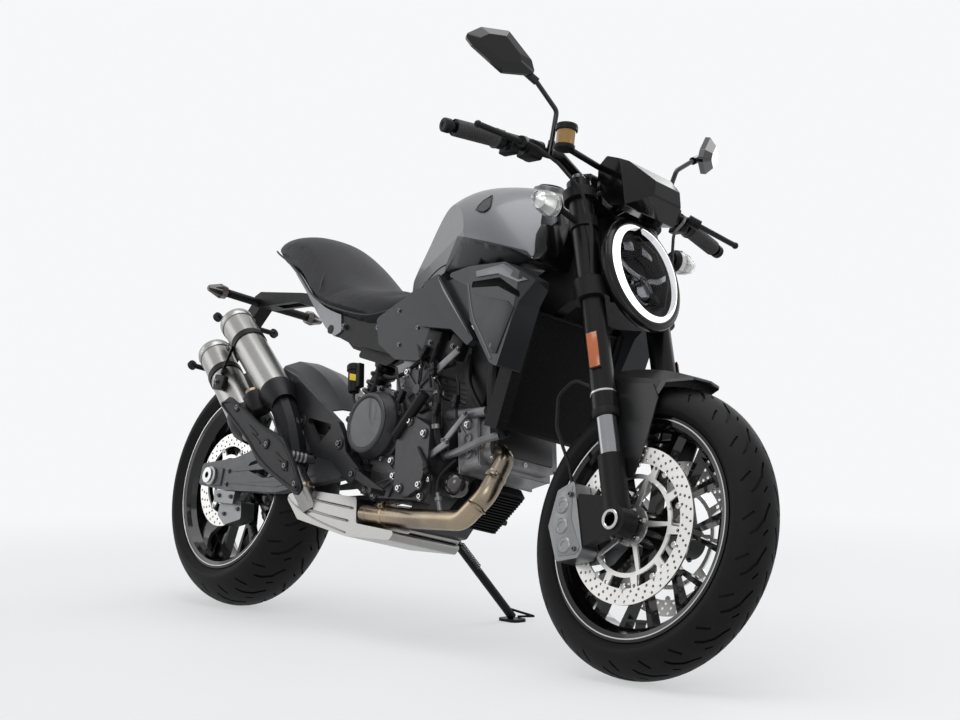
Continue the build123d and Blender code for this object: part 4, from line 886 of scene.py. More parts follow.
    def hose(self, points: Sequence[Place], radius: float, sides: int = 2) -> Piece:
        """A smooth tube that follows points, with its ends closed."""
        curve = bpy.data.curves.new("hose", "CURVE")
        curve.dimensions = "3D"
        spline = curve.splines.new("NURBS")
        spline.points.add(len(points) - 1)
        for place, point in zip(spline.points, points):
            place.co = (*point, 1.0)
        spline.order_u = 3
        spline.use_endpoint_u = True
        spline.resolution_u = 6
        curve.bevel_depth = radius
        curve.bevel_resolution = sides
        curve.use_fill_caps = True
        piece = bpy.data.objects.new("hose", curve)
        bpy.context.collection.objects.link(piece)
        self.alone(piece)
        bpy.ops.object.convert(target="MESH")
        return self.outward(bpy.context.object)

    def coil(self, radius: float, wire: float, foot: float, rise: float, turns: float,
             steps: int, sides: int = 2) -> Piece:
        """A wire spring that winds up Z.

        Args:
            radius: Radius of the wire's middle line.
            wire: Radius of the wire.
            foot: Height at which it starts.
            rise: How far it climbs.
            turns: Number of turns.
            steps: Points in one turn.
            sides: Rounding steps of the wire.

        Returns:
            The spring.
        """
        helix = []
        for n in range(int(turns * steps) + 1):
            angle = n * math.tau / steps
            helix.append((radius * math.cos(angle), radius * math.sin(angle),
                          foot + rise * n / (turns * steps)))
        return self.hose(helix, wire, sides)

    def bolt(self, radius: float, height: float, hexagon: bool = False,
             socket: float = 0.55) -> Piece:
        """A cap screw or hexagon head that stands on Z, with its washer."""
        bpy.ops.mesh.primitive_cylinder_add(
            vertices=6 if hexagon else 14, radius=radius, depth=height,
            location=(0, 0, height / 2))
        head = self.alone(bpy.context.object)
        bpy.ops.object.transform_apply(location=True)
        self.edit(head, lambda normal: normal.z > 0.9)
        bpy.ops.mesh.inset(thickness=radius * 0.12)
        self.extrude((0, 0, height * 0.1))
        if not hexagon:
            bpy.ops.mesh.inset(thickness=radius * (1 - socket) * 0.8)
            self.extrude((0, 0, -height * 0.6))
        self.done()
        bpy.ops.mesh.primitive_cylinder_add(
            vertices=14, radius=radius * 1.28, depth=height * 0.16, location=(0, 0, height * 0.08))
        washer = self.alone(bpy.context.object)
        bpy.ops.object.transform_apply(location=True)
        return self.join(head, washer)

    # placing -------------------------------------------------------------
    @staticmethod
    def aim(origin: Sequence[float], direction: Sequence[float], roll: float = 0.0) -> Matrix:
        """Matrix that puts Z along a direction at an origin."""
        turn = Vector(direction).to_track_quat("Z", "Y").to_matrix().to_4x4()
        return Matrix.Translation(origin) @ turn @ Matrix.Rotation(roll, 4, "Z")

    def shift(self, piece: Piece, place: Place) -> Piece:
        """Move a piece without turning it."""
        return self.move(piece, Matrix.Translation(place))

    def plant(self, piece: Piece, origin: Place, direction: Place, roll: float = 0.0) -> Piece:
        """Put a piece that is drawn on Z at an origin, along a direction."""
        return self.move(piece, self.aim(origin, direction, roll))

    def move(self, piece: Piece, matrix: Matrix) -> Piece:
        """Move a piece and apply its place."""
        piece.matrix_world = matrix @ piece.matrix_world
        self.alone(piece)
        bpy.ops.object.transform_apply(location=True, rotation=True, scale=True)
        return piece

    def copies(self, piece: Piece, matrices: Iterable[Matrix]) -> list[Piece]:
        """Copies of a piece, each with its own mesh; the piece itself is used up."""
        made = []
        for matrix in matrices:
            copy = piece.copy()
            copy.data = piece.data.copy()
            bpy.context.collection.objects.link(copy)
            copy.matrix_world = matrix
            made.append(copy)
        bpy.data.objects.remove(piece)
        self.alone(*made)
        bpy.ops.object.transform_apply(location=True, rotation=True, scale=True)
        return made

    def spread(self, piece: Piece, places: Iterable[Place]) -> list[Piece]:
        """Copies of a piece, moved to places without turning."""
        return self.copies(piece, [Matrix.Translation(place) for place in places])

    def ring(self, piece: Piece, count: int, start: float = 0.0) -> Piece:
        """Copies of a piece evenly round Z, as one piece."""
        turns = [Matrix.Rotation(start + n * math.tau / count, 4, "Z") for n in range(count)]
        return self.join(*self.copies(piece, turns))

    def scatter(self, piece: Piece, places: Sequence[Point], direction: Point) -> Piece:
        """Copies of a piece that stands on Z at places, as one piece."""
        return self.join(*self.copies(piece, [self.aim(p, direction) for p in places]))

    def join(self, *pieces: Piece) -> Piece:
        """Join pieces into the first."""
        self.alone(*pieces)
        if len(pieces) > 1:
            bpy.ops.object.join()
        return bpy.context.object

    def cut(self, piece: Piece, cutter: Piece) -> Piece:
        """Cut a piece with another, which is used up."""
        self.apply(
            piece, "BOOLEAN", operation="DIFFERENCE", object=cutter, solver="EXACT", use_self=True)
        bpy.data.objects.remove(cutter)
        return piece

    def taken(self, node: str) -> Piece:
        """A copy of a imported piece's mesh, in metres where it stands, merged."""
        source = self.nodes[node]
        piece = bpy.data.objects.new(node + "_copy", source.data.copy())
        bpy.context.collection.objects.link(piece)
        self.edit(piece, kind="VERT")
        bpy.ops.mesh.remove_doubles(threshold=0.00002)
        return self.done()

    def touch(self, node: str, start: Point, way: Point) -> tuple[Vector, Vector] | None:
        """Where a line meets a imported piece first, and the surface's normal there.

        Args:
            node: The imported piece.
            start: Start of the line on the upright machine, outside the piece.
            way: Its direction.

        Returns:
            Place and normal on the upright machine, or None where it misses.
        """
        frame = self.frames[Base.BIKE]
        turn = frame.to_3x3().normalized()
        if node not in self.trees:
            mesh = self.nodes[node].data
            self.trees[node] = BVHTree.FromPolygons(
                [vertex.co for vertex in mesh.vertices], [face.vertices for face in mesh.polygons])
        place, normal, _, _ = self.trees[node].ray_cast(
            frame @ Vector(start), (turn @ Vector(way)).normalized())
        if place is None:
            return None
        return frame.inverted() @ place, (turn.inverted() @ normal).normalized()

    def traced(self, node: str, outline: Iterable[Pair], side: int) -> list[Vector]:
        """A side-on outline of X and Z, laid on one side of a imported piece."""
        found = [self.touch(node, (x, side * OUTSIDE, z), (0, -side, 0)) for x, z in outline]
        return [place for place, _ in filter(None, found)]

    def deliver(self, piece: Piece | list[Piece], name: str, finish: Finish, mount: Mount,
                smooth: float = 35.0, drawn: bool = True) -> Piece:
        """Name, place, smooth and dress a finished piece, and let it ride.

        Args:
            piece: The modelled piece, or several to join into one.
            name: Its name.
            finish: What it is finished in.
            mount: Its frame and body.
            smooth: Largest angle in degrees that is shaded smooth.
            drawn: Whether it was drawn in its frame's millimetres.

        Returns:
            The piece.
        """
        if isinstance(piece, list):
            piece = self.join(*piece)
        piece.name = name
        piece.data.name = name
        if drawn:
            self.move(piece, self.frames[mount.base])
        self.alone(piece)
        bpy.ops.object.shade_smooth_by_angle(angle=math.radians(smooth))
        piece.data.materials.clear()
        piece.data.materials.append(finish.material())
        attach(piece, mount.body)
        log.info("%s: %d faces", name, len(piece.data.polygons))
        return piece


# ------------------------------------------------------------------ wheels
@dataclass
class Tyre:
    """A road tyre with its tread cut into the crown."""

    node: str
    mount: Mount
    radius: float
    half: float
    drop: float
    rim_half: float
    axle: Point
    pitches: int = 22
    depth: float = 4.6
    thickness: float = 11.0
    steps: int = 14

    def crown(self, y: float) -> float:
        """Radius of the tread at a distance from the middle."""
        ball = (self.half ** 2 + self.drop ** 2) / (2 * self.drop)
        return self.radius - ball + math.sqrt(ball ** 2 - y ** 2)

    def carcass(self, bench: Bench) -> Piece:
        """Spin the section round the axle, from bead to bead."""
        edge = self.radius - self.drop
        steps = self.steps
        tread = [(self.crown(self.half * n / steps), self.half * n / steps)
                 for n in range(-steps, steps + 1)]
        foot = self.rim_half - 6.0
        wall = [(edge - 5, self.half + 0.5), (edge - 11, self.half + 0.2),
                (edge - 13, self.half - 1.2), (237.0, self.rim_half + 1.5),
                (232.6, self.rim_half - 3), (230.6, foot - 0.5), (220.0, foot - 0.5),
                (220.0, foot - 12), (228.0, foot - 15), (edge - 8, self.half - 10)]
        low = [(r, -y) for r, y in reversed(wall)]
        inner = [(self.crown(0) - self.thickness, 0.0)]
        return bench.lathe(low + tread + wall + inner, steps=112, closed=True)

    def groove(self, bench: Bench, outline: Sequence[Pair]) -> Piece:
        """A cutter for one groove.

        Args:
            bench: The modelling bench.
            outline: Corners as distance round the tread and distance across it.

        Returns:
            The cutter.
        """
        middle = sum(y for _, y in outline) / len(outline)
        slope = math.asin(
            max(-1.0, min(1.0, middle * 2 * self.drop / (self.half ** 2 + self.drop ** 2))))
        points = []
        for along, across in outline:
            angle = along / self.radius
            reach = self.crown(across) - self.depth
            points.append((reach * math.cos(angle), reach * math.sin(angle), across))
        return bench.slab(points, (16.0 * math.cos(slope), 0.0, 16.0 * math.sin(slope)))

    def cutters(self, bench: Bench) -> Piece:
        """Every groove of the tread as one cutter."""
        long_groove = ((0, 0.10), (16, 0.22), (34, 0.30), (56, 0.52), (66, 0.68), (63, 0.72),
                       (50, 0.57), (30, 0.38), (11, 0.28), (-4, 0.15))
        slash = ((20, 0.60), (40, 0.86), (36, 0.89), (16, 0.64))
        nick = ((52, 0.16), (66, 0.32), (62, 0.35), (49, 0.20))
        halfway = self.radius * math.pi / self.pitches
        grooves = []
        for side, shift in ((1, 0), (-1, halfway)):
            for shape in (long_groove, slash, nick):
                outline = [(along + shift, side * across * self.half) for along, across in shape]
                grooves.append(self.groove(bench, outline))
        return bench.ring(bench.outward(bench.join(*grooves)), self.pitches)

    def build(self, bench: Bench) -> None:
        """Model the tyre, cut it and put it on its wheel."""
        tyre = self.carcass(bench)
        bench.cut(tyre, self.cutters(bench))
        bench.plant(tyre, self.axle, LEFT)
        piece = bench.deliver(tyre, self.node + "_tread", Look.TYRE, self.mount, 42)
        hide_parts(self.node)


@dataclass
class DrilledDisc:
    """A brake disc with staggered holes, on floating buttons."""

    node: str
    mount: Mount
    axle: Point
    sides: tuple[float, ...]
    outer: float
    inner: float
    buttons: int
    holes: int
    hole: float = 3.1
    rows: Point = (0.2, 0.5, 0.8)

    def build(self, bench: Bench) -> None:
        """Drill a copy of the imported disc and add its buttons."""
        disc = bench.taken(self.node)
        drills = []
        for n in range(self.holes):
            turn = n * math.tau / self.holes
            for row, part in enumerate(self.rows):
                angle = turn + row * math.tau / self.holes / len(self.rows)
                reach = self.inner + (self.outer - self.inner) * part
                drills.append(Matrix.Rotation(angle, 4, "Z") @ Matrix.Translation((reach, 0, 0)))
        bpy.ops.mesh.primitive_cylinder_add(vertices=10, radius=self.hole, depth=200.0)
        drill = bench.join(*bench.copies(bpy.context.object, drills))
        bench.move(drill, bench.frames[self.mount.base] @ bench.aim(self.axle, LEFT))
        bench.cut(disc, drill)
        piece = bench.deliver(disc, self.node + "_drilled", Look.DISC, self.mount, 30, drawn=False)
        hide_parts(self.node)
        for number, side in enumerate(self.sides):
            way = math.copysign(1.0, side)
            button = bench.lathe([
                (0, 0), (6.6, 0), (6.6, 1.6), (5.2, 2.4), (5.2, 1.6), (3.4, 1.6), (3.2, 0.6),
                (0, 0.6)], steps=16)
            bench.shift(button, (self.inner - 3, 0, 0))
            buttons = bench.ring(button, self.buttons)
            bench.plant(buttons, (self.axle[0], side, self.axle[2]), (0, way, 0))
            bench.deliver(buttons, f"{self.node}_buttons_{number + 1}", Look.BRIGHT, self.mount)


@dataclass
class WheelTrim:
    """Valve, rim stripes and disc screws of one wheel."""

    name: str
    mount: Mount
    axle: Point
    faces: Pair
    hub: float
    screws: int
    rim: float
    lip: float
    valve_reach: float = 196.0
    valve_turn: float = 0.2

    def build(self, bench: Bench) -> None:
        """Model the screws on the carrier, the valve and the rim stripes."""
        x, _, z = self.axle
        for number, y in enumerate(self.faces):
            way = math.copysign(1.0, y)
            screw = bench.shift(bench.bolt(5.2, 4.2), (self.hub, 0, 0))
            ring = bench.ring(screw, self.screws)
            bench.plant(ring, (x, y, z), (0, way, 0))
            bench.deliver(
                ring, f"{self.name}_carrier_screws_{number + 1}", Look.BRIGHT, self.mount)
        valve = bench.lathe(
            [(0, 0), (6, 0), (6, 3), (3.2, 5), (3.2, 20), (4, 21), (4, 32), (3, 34), (0, 34)],
            steps=14)
        ahead, up = math.sin(self.valve_turn), math.cos(self.valve_turn)
        foot = (x + self.valve_reach * ahead, -8, z + self.valve_reach * up)
        bench.plant(valve, foot, (-ahead, -0.5, -up))
        bench.deliver(valve, f"{self.name}_valve", Look.HOSE, self.mount)
        stripe = bench.lathe([
            (self.lip - 1.6, -0.4), (self.lip + 1.6, -0.4), (self.lip + 1.2, 0.7),
            (self.lip - 1.2, 0.7)], 96, True)
        stripes = bench.copies(
            stripe, [bench.aim((x, side * self.rim, z), (0, side, 0)) for side in SIDES])
        bench.deliver(stripes, f"{self.name}_rim_stripes", Look.STRIPE, self.mount)


def build_wheels(bench: Bench) -> None:
    """Model what turns: tyres, discs and wheel trim."""
    Tyre("front_tyre", FRONT_WHEEL, 300.0, 59.5, 43.0, 50.0, FORK_AXLE).build(bench)
    Tyre("rear_tyre", REAR_WHEEL, 315.0, 88.0, 55.0, 76.0, REAR_AXLE).build(bench)
    DrilledDisc("front_brake_discs", FRONT_WHEEL, FORK_AXLE, (-68.05, 68.05), 160.0, 127.0,
                10, 40).build(bench)
    DrilledDisc(
        "rear_brake_disc", REAR_WHEEL, REAR_AXLE, (-86.5,), 122.5, 88.0, 6, 28).build(bench)
    WheelTrim(
        "front_wheel", FRONT_WHEEL, FORK_AXLE, (-68.05, 68.05), 31.0, 5, 50.0, 224.0).build(bench)
    WheelTrim("rear_wheel", REAR_WHEEL, REAR_AXLE, (-86.9,), 26.0, 6, 76.0, 224.0).build(bench)


# ------------------------------------------------------------------ front end
@dataclass
class ForkTrim:
    """Seals, pinch screws, adjusters and reflector on the fork legs."""

    seal_z: float = 226.0
    cap_z: float = 788.0
    legs: Pair = (-FORK_SPAN, FORK_SPAN)

    def build(self, bench: Bench) -> None:
        """Model what is fastened to the legs and clamps."""
        seal = bench.lathe(
            [(21.9, 0), (26.2, 0), (27.8, 3), (28.6, 12), (28.6, 15), (21.9, 15)], steps=40,
            closed=True)
        seals = bench.spread(seal, [(0, y, self.seal_z) for y in self.legs])
        bench.deliver(seals, "fork_dust_seals", Look.HOSE, FORK)
        band = bench.lathe([(26.3, 276), (27.6, 277), (27.6, 280), (26.3, 281)], 40, True)
        bands = bench.spread(band, [(0, y, 0) for y in self.legs])
        bench.deliver(bands, "fork_tube_bands", Look.BRIGHT, FORK)
        ring = bench.lathe(
            [(13.8, 0), (20.8, 0), (20.8, 4), (19.6, 5.4), (15.2, 5.4), (13.8, 4)], steps=44,
            closed=True)
        bench.plant(ring, (0, -127.4, 0), RIGHT)
        bench.deliver(ring, "front_axle_end_ring", Look.BRIGHT, FORK)
        pinch = bench.scatter(
            bench.bolt(5.0, 6.0), [(-9.0, y, -31.0) for y in (-117, -95, 95, 117)], (0.2, 0, -1))
        clamp = bench.scatter(bench.bolt(4.6, 7.0), [
            (34.0, side * 84, z) for side in SIDES for z in (505, 527, 745)], (1, 0, 0))
        bench.deliver([pinch, clamp], "fork_pinch_screws", Look.BOLT, FORK)
        cap = bench.lathe(
            [(0, 0), (17, 0), (17, 3), (12.5, 5), (12.5, 11), (7, 11), (7, 8), (0, 8)], steps=12)
        caps = bench.spread(cap, [(0, y, self.cap_z) for y in self.legs])
        bench.deliver(caps, "fork_adjusters", Look.BOLT, FORK, 25)
        nut = bench.shift(bench.bolt(15.0, 9.0, hexagon=True), (-33, 0, 766))
        bench.deliver(nut, "steering_stem_nut", Look.BOLT, FORK, 25)
        self.reflector(bench)

    def reflector(self, bench: Bench) -> None:
        """Amber reflector on the outside of each leg."""
        plates, backs = [], []
        for side in SIDES:
            out = Vector((0.34, side * 0.94, 0)).normalized()
            along, up = Vector((-out.y, out.x, 0)), Vector((0, 0, 1))
            centre = Vector((0, side * FORK_SPAN, 368)) + out * 26.8
            for wide, tall, depth, group in ((13.5, 42, 3.0, backs), (11.5, 39, 6.0, plates)):
                outline = [centre + along * (wide * a) + up * (tall * b) for a, b in SQUARE]
                group.append(bench.slab(outline, out * depth, 1.4))
        bench.deliver(backs, "reflector_backs", Look.PLASTIC, FORK)
        bench.deliver(plates, "fork_reflectors", Look.AMBER, FORK)


@dataclass
class Headlamp:
    """Oval headlamp: bucket, lit ring, dark reflector with its projector, and glass."""

    centre: Point = (0.0, 0.0, 565.0)
    tall: float = 1.109
    lens_drop: float = 30.0
    inner_edge: float = 91.0
    rise: float = 1.03
    sink: float = 1.075

    def oval(self, bench: Bench, piece: Piece) -> Piece:
        """Turn a lathe form to face forward, taller than it is wide."""
        stretch = Matrix.Diagonal((self.tall, 1.0, 1.0, 1.0))
        turn = Matrix.Rotation(QUARTER, 4, "Y")
        return bench.move(piece, Matrix.Translation(self.centre) @ turn @ stretch)

    def deepen(self, piece: Piece) -> None:
        """Draw the inner edge up and, twice as far, down, so the ring thins below."""
        for point in piece.data.vertices:
            if point.co.xy.length < self.inner_edge:
                point.co.x *= self.rise if point.co.x < 0 else self.sink

    def build(self, bench: Bench) -> None:
        """Model the lamp from the back to the glass."""
        bucket = bench.lathe([
            (0, 22), (58, 22), (88, 27), (106, 35), (115, 43), (118, 50), (118, 60), (116.5, 63),
            (112, 65), (109, 68), (105, 68.5), (103, 66), (103, 58), (99, 50), (99, 44), (60, 38),
            (0, 36)], steps=72)
        body = bench.deliver(self.oval(bench, bucket), "headlight_bucket", Look.LAMP_BLACK, FORK)
        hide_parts("headlight")
        ring = bench.lathe(
            [(89, 62), (89, 76), (90.2, 77.2), (102.4, 66.6), (102.8, 64), (102.8, 60)], steps=96,
            closed=True)
        self.deepen(ring)
        gap = bench.slab([(70, -10, 50), (125, -14, 50), (125, 14, 50), (70, 10, 50)], (0, 0, 40))
        bench.cut(ring, bench.move(gap, Matrix.Rotation(math.pi, 4, "Z")))
        bench.deliver(self.oval(bench, ring), "headlight_day_ring", Look.DAYLIGHT, FORK)
        inner = bench.lathe([
            (84, 58), (84, 61), (80, 61), (76, 50), (50, 42), (47, 46), (44, 46), (42, 40),
            (0, 39)], steps=8)
        bench.deliver(self.oval(bench, inner), "headlight_inner_bezel", Look.CAST_BLACK, FORK, 10)
        self.projectors(bench)
        glass = bench.lathe([
            (0, 87), (40, 85.6), (70, 82), (88.8, 76.6), (88.8, 74.6), (70, 80), (40, 83.6),
            (0, 85)], steps=72)
        self.deepen(glass)
        bench.deliver(self.oval(bench, glass), "headlight_glass", Look.LAMP_GLASS, FORK)

    def projectors(self, bench: Bench) -> None:
        """Main lens with its ring, and the bright blade and boxes round it."""
        lens = bench.lathe([(0, 64), (12, 62), (22, 56), (26, 48), (26, 40), (0, 40)], steps=40)
        bench.shift(lens, (self.lens_drop, 0, 0))
        bench.deliver(self.oval(bench, lens), "headlight_projector", Look.GLASS, FORK)
        rim = bench.lathe(
            [(26.5, 40), (33, 40), (34, 52), (31, 55), (26.5, 50)], steps=40, closed=True)
        bench.shift(rim, (self.lens_drop, 0, 0))
        bench.deliver(self.oval(bench, rim), "headlight_projector_ring", Look.CHROME, FORK)
        blades = []
        for side in SIDES:
            blades.append(bench.slab(
                [(52, side * 12, 556), (52, side * 46, 566), (52, side * 76, 586),
                 (52, side * 74, 572), (52, side * 48, 553), (52, side * 15, 546)], (10, 0, 0),
                1.2))
            blades.append(bench.slab([
                (46, side * 12, 620), (46, side * 44, 612), (46, side * 50, 636),
                (46, side * 16, 646)], (9, 0, 0), 1.2))
        bench.deliver(blades, "headlight_blades", Look.BRIGHT, FORK)
        boxes = [bench.slab([
            (44, y - 14, z - 10), (44, y + 14, z - 10), (44, y + 12, z + 10),
            (44, y - 12, z + 10)], (12, 0, 0), 2.0) for y, z in ((-34, 520), (34, 520), (0, 478))]
        bench.deliver(boxes, "headlight_light_boxes", Look.CAST_BLACK, FORK)


@dataclass
class Indicators:
    """Clear front indicators on short stalks from rings on the legs."""

    def build(self, bench: Bench) -> None:
        """Model rings, stalks, bright inner bowls and clear lenses."""
        dark, bowls, lenses = [], [], []
        for side in SIDES:
            collar = bench.lathe([(26.8, 664), (31, 664), (31, 690), (26.8, 690)], 40, True)
            dark.append(bench.shift(collar, (0, side * FORK_SPAN, 0)))
            dark.append(bench.rod((2, side * 134, 676), (8, side * 188, 686), 6.5))
            frame = bench.aim((2, side * 186, 688), (0, side, 0.05))
            shape = Matrix.Diagonal((1.25, 1.42, 1.12, 1.0))
            base = bench.lathe([(0, -1), (13, -1), (15.5, 3), (18, 10), (0, 10)], 20)
            dark.append(bench.move(base, frame @ shape))
            bowl = bench.lathe([(0, 10.5), (15, 10.5), (17, 22), (12, 46), (0, 58)], 7)
            bowls.append(bench.move(bowl, frame @ shape))
            lens = bench.lathe(
                [(0, 10.2), (18.4, 10.2), (20, 22), (17, 42), (11, 60), (6, 65), (0, 66)], 20)
            lenses.append(bench.move(lens, frame @ shape))
        piece = bench.deliver(dark, "indicator_stalks", Look.PLASTIC, FORK)
        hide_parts("front_indicators")
        bench.deliver(bowls, "indicator_bowls", Look.PEARL, FORK, 15)
        bench.deliver(lenses, "indicator_lenses", Look.GLASS, FORK)


@dataclass
class Cockpit:
    """Grips, switches, reservoir, mirror glass and display."""

    inner: Point = (1140.0, 300.0, 1054.0)
    end: Point = (1124.0, 436.0, 1038.0)
    mirror: Point = (1118.0, 345.0, 1238.0)
    dash_normal: Pair = (-0.952, 0.305)
    ridges: int = 15
    ridge_pitch: float = 6.6

    def build(self, bench: Bench) -> None:
        """Model what the rider holds and looks at."""
        grips, boxes, buttons, weights = [], [], [], []
        for side in SIDES:
            inner = Vector((self.inner[0], side * self.inner[1], self.inner[2]))
            end = Vector((self.end[0], side * self.end[1], self.end[2]))
            along = (end - inner).normalized()
            profile = [(17.1, 0), (22, 0), (22, 3), (17.6, 6)]
            for n in range(self.ridges):
                low = 8 + n * self.ridge_pitch
                profile += [(17.4, low), (18.7, low + 1.2), (18.7, low + 4.2), (17.4, low + 5.4)]
            profile += [(18.4, 108), (17.1, 108)]
            grip = bench.lathe(profile, 28, True)
            grips.append(bench.plant(grip, inner + along * 18, along))
            weight = bench.lathe([
                (0, 0), (15.4, 0), (15.8, 3), (14.8, 5), (15.8, 7), (15.4, 14), (12, 16.6),
                (6, 16.6), (5, 12), (0, 12)], 28)
            weights.append(bench.plant(weight, end, along))
            bend = Vector((1166, side * 150, 1066))
            inward = (bend - inner).normalized()
            for near, far, drop in ((54, 96, 0.0), (10, 34, -3.0)):
                centre = inner + inward * ((near + far) / 2) + Vector((0, 0, drop))
                half = (far - near) / 2
                outline = [(centre.x - 23, centre.z - 25), (centre.x + 19, centre.z - 22),
                           (centre.x + 22, centre.z + 14), (centre.x - 14, centre.z + 20)]
                boxes.append(bench.plate(outline, centre.y - half, centre.y + half, 5.0, 3))
            for n, (dx, dz) in enumerate(((-24, -10), (-24, 6), (-20, -20))):
                root = inner + inward * (64 + 10 * n) + Vector((dx, 0, dz))
                knob = bench.bolt(4.8, 6.0, socket=0.9)
                buttons.append(bench.plant(knob, root, (-1, 0, 0.2)))
        bench.deliver(grips, "grips", Look.GRIP, BARS)
        bench.deliver(weights, "bar_end_weights", Look.CAST_BLACK, BARS)
        bench.deliver(boxes, "switch_boxes", Look.PLASTIC, BARS)
        bench.deliver(buttons, "switch_buttons", Look.GREY_PLASTIC, BARS)
        self.reservoir(bench)
        self.mirror_glass(bench)
        self.display(bench)

    def reservoir(self, bench: Bench) -> None:
        """Brake fluid cup: amber body, black lid with flutes."""
        lean = bench.aim((1226, -199, 1066), (-6, 0, 46))
        cup = bench.lathe([(17, 2), (20.6, 4), (21.0, 30), (20.6, 36), (0, 36), (0, 2)], 36)
        bench.deliver(bench.move(cup, lean), "fluid_cup", Look.FLUID, BARS)
        lid = bench.lathe([(0, 52), (16, 52), (21, 51), (24, 48), (24, 38), (22, 36), (0, 36)], 18)
        foot = bench.lathe([(0, -6), (14, -6), (21.5, -2), (21.5, 4), (0, 4)], 36)
        bench.deliver(
            bench.move(bench.join(lid, foot), lean), "fluid_cup_lid", Look.PLASTIC, BARS, 20)

    def mirror_glass(self, bench: Bench) -> None:
        """Glass in the rider's side of each mirror."""
        outline = [(70, 12), (42, 34), (-12, 40), (-68, -6), (-78, -30), (-14, -40), (52, -4)]
        wide = Vector((-0.54, 0.84, 0)).normalized()
        ahead = Vector((0.84, 0.54, 0.05)).normalized()
        tall = ahead.cross(wide).normalized()
        glasses = []
        for side in SIDES:
            points = []
            for u, v in outline:
                place = Vector(self.mirror) + wide * u + tall * v + ahead * 0.6
                points.append((place.x, side * place.y, place.z))
            push = (-ahead.x * 2.0, -side * ahead.y * 2.0, -ahead.z * 2.0)
            glasses.append(bench.slab(points, push, 0.5, 1))
        bench.deliver(glasses, "mirror_glass", Look.MIRROR, BARS, 20)

    def display(self, bench: Bench) -> None:
        """Screen and bezel on the rider's side of the dash."""
        x, z = self.dash_normal

        def face(half: float, low: float, high: float, rise: float) -> list[Point]:
            """Corners of a patch on the sloping back of the dash."""
            return [(26 + 16 * part + x * rise, y, 762 + 50 * part + z * rise) for part, y in (
                (low, -half), (low, half), (high, half), (high, -half))]

        push = (x * 2.4, 0.0, z * 2.4)
        bezel = bench.slab(face(76, 0.02, 0.98, 0.0), push, 1.2)
        bench.deliver(bezel, "display_bezel", Look.PLASTIC, FORK)
        screen = bench.slab(face(66, 0.12, 0.9, 2.2), push, 0.4, 1)
        bench.deliver(screen, "display_screen", Look.SCREEN, FORK)


@dataclass
class CaliperTrim:
    """Piston covers, pins and screws of the front calipers."""

    def build(self, bench: Bench) -> None:
        """Model what stands on each caliper's outer half."""
        covers, screws, plates = [], [], []
        for side in SIDES:
            face = side * 115.6
            way = (0, side, 0)
            cover = bench.lathe(
                [(0, 0), (17, 0), (17, 2), (14.5, 4), (9, 4), (8, 2.6), (0, 2.6)], 28)
            covers.append(
                bench.scatter(cover, [(-132, face, 76), (-140, face, 34), (-138, face, -8)], way))
            screws.append(
                bench.scatter(bench.bolt(5.4, 6.0), [(-106, face, 92), (-112, face, -24)], way))
            outline = [(-98, 108), (-132, 106), (-166, 46), (-158, -26), (-112, -36),
                       (-98, -24), (-112, 40)]
            plates.append(bench.plate(outline, side * 114.6, side * 117.0, 1.0))
            screws.append(bench.rod((-172, side * 50, 34), (-172, side * 112, 34), 4.2))
        bench.deliver(plates, "caliper_faces", Look.CALIPER, FORK)
        bench.deliver(covers, "caliper_piston_covers", Look.CALIPER, FORK)
        bench.deliver(screws, "caliper_screws", Look.BOLT, FORK)


def build_front(bench: Bench) -> None:
    """Model what turns with the bars."""
    ForkTrim().build(bench)
    Headlamp().build(bench)
    Indicators().build(bench)
    Cockpit().build(bench)
    CaliperTrim().build(bench)


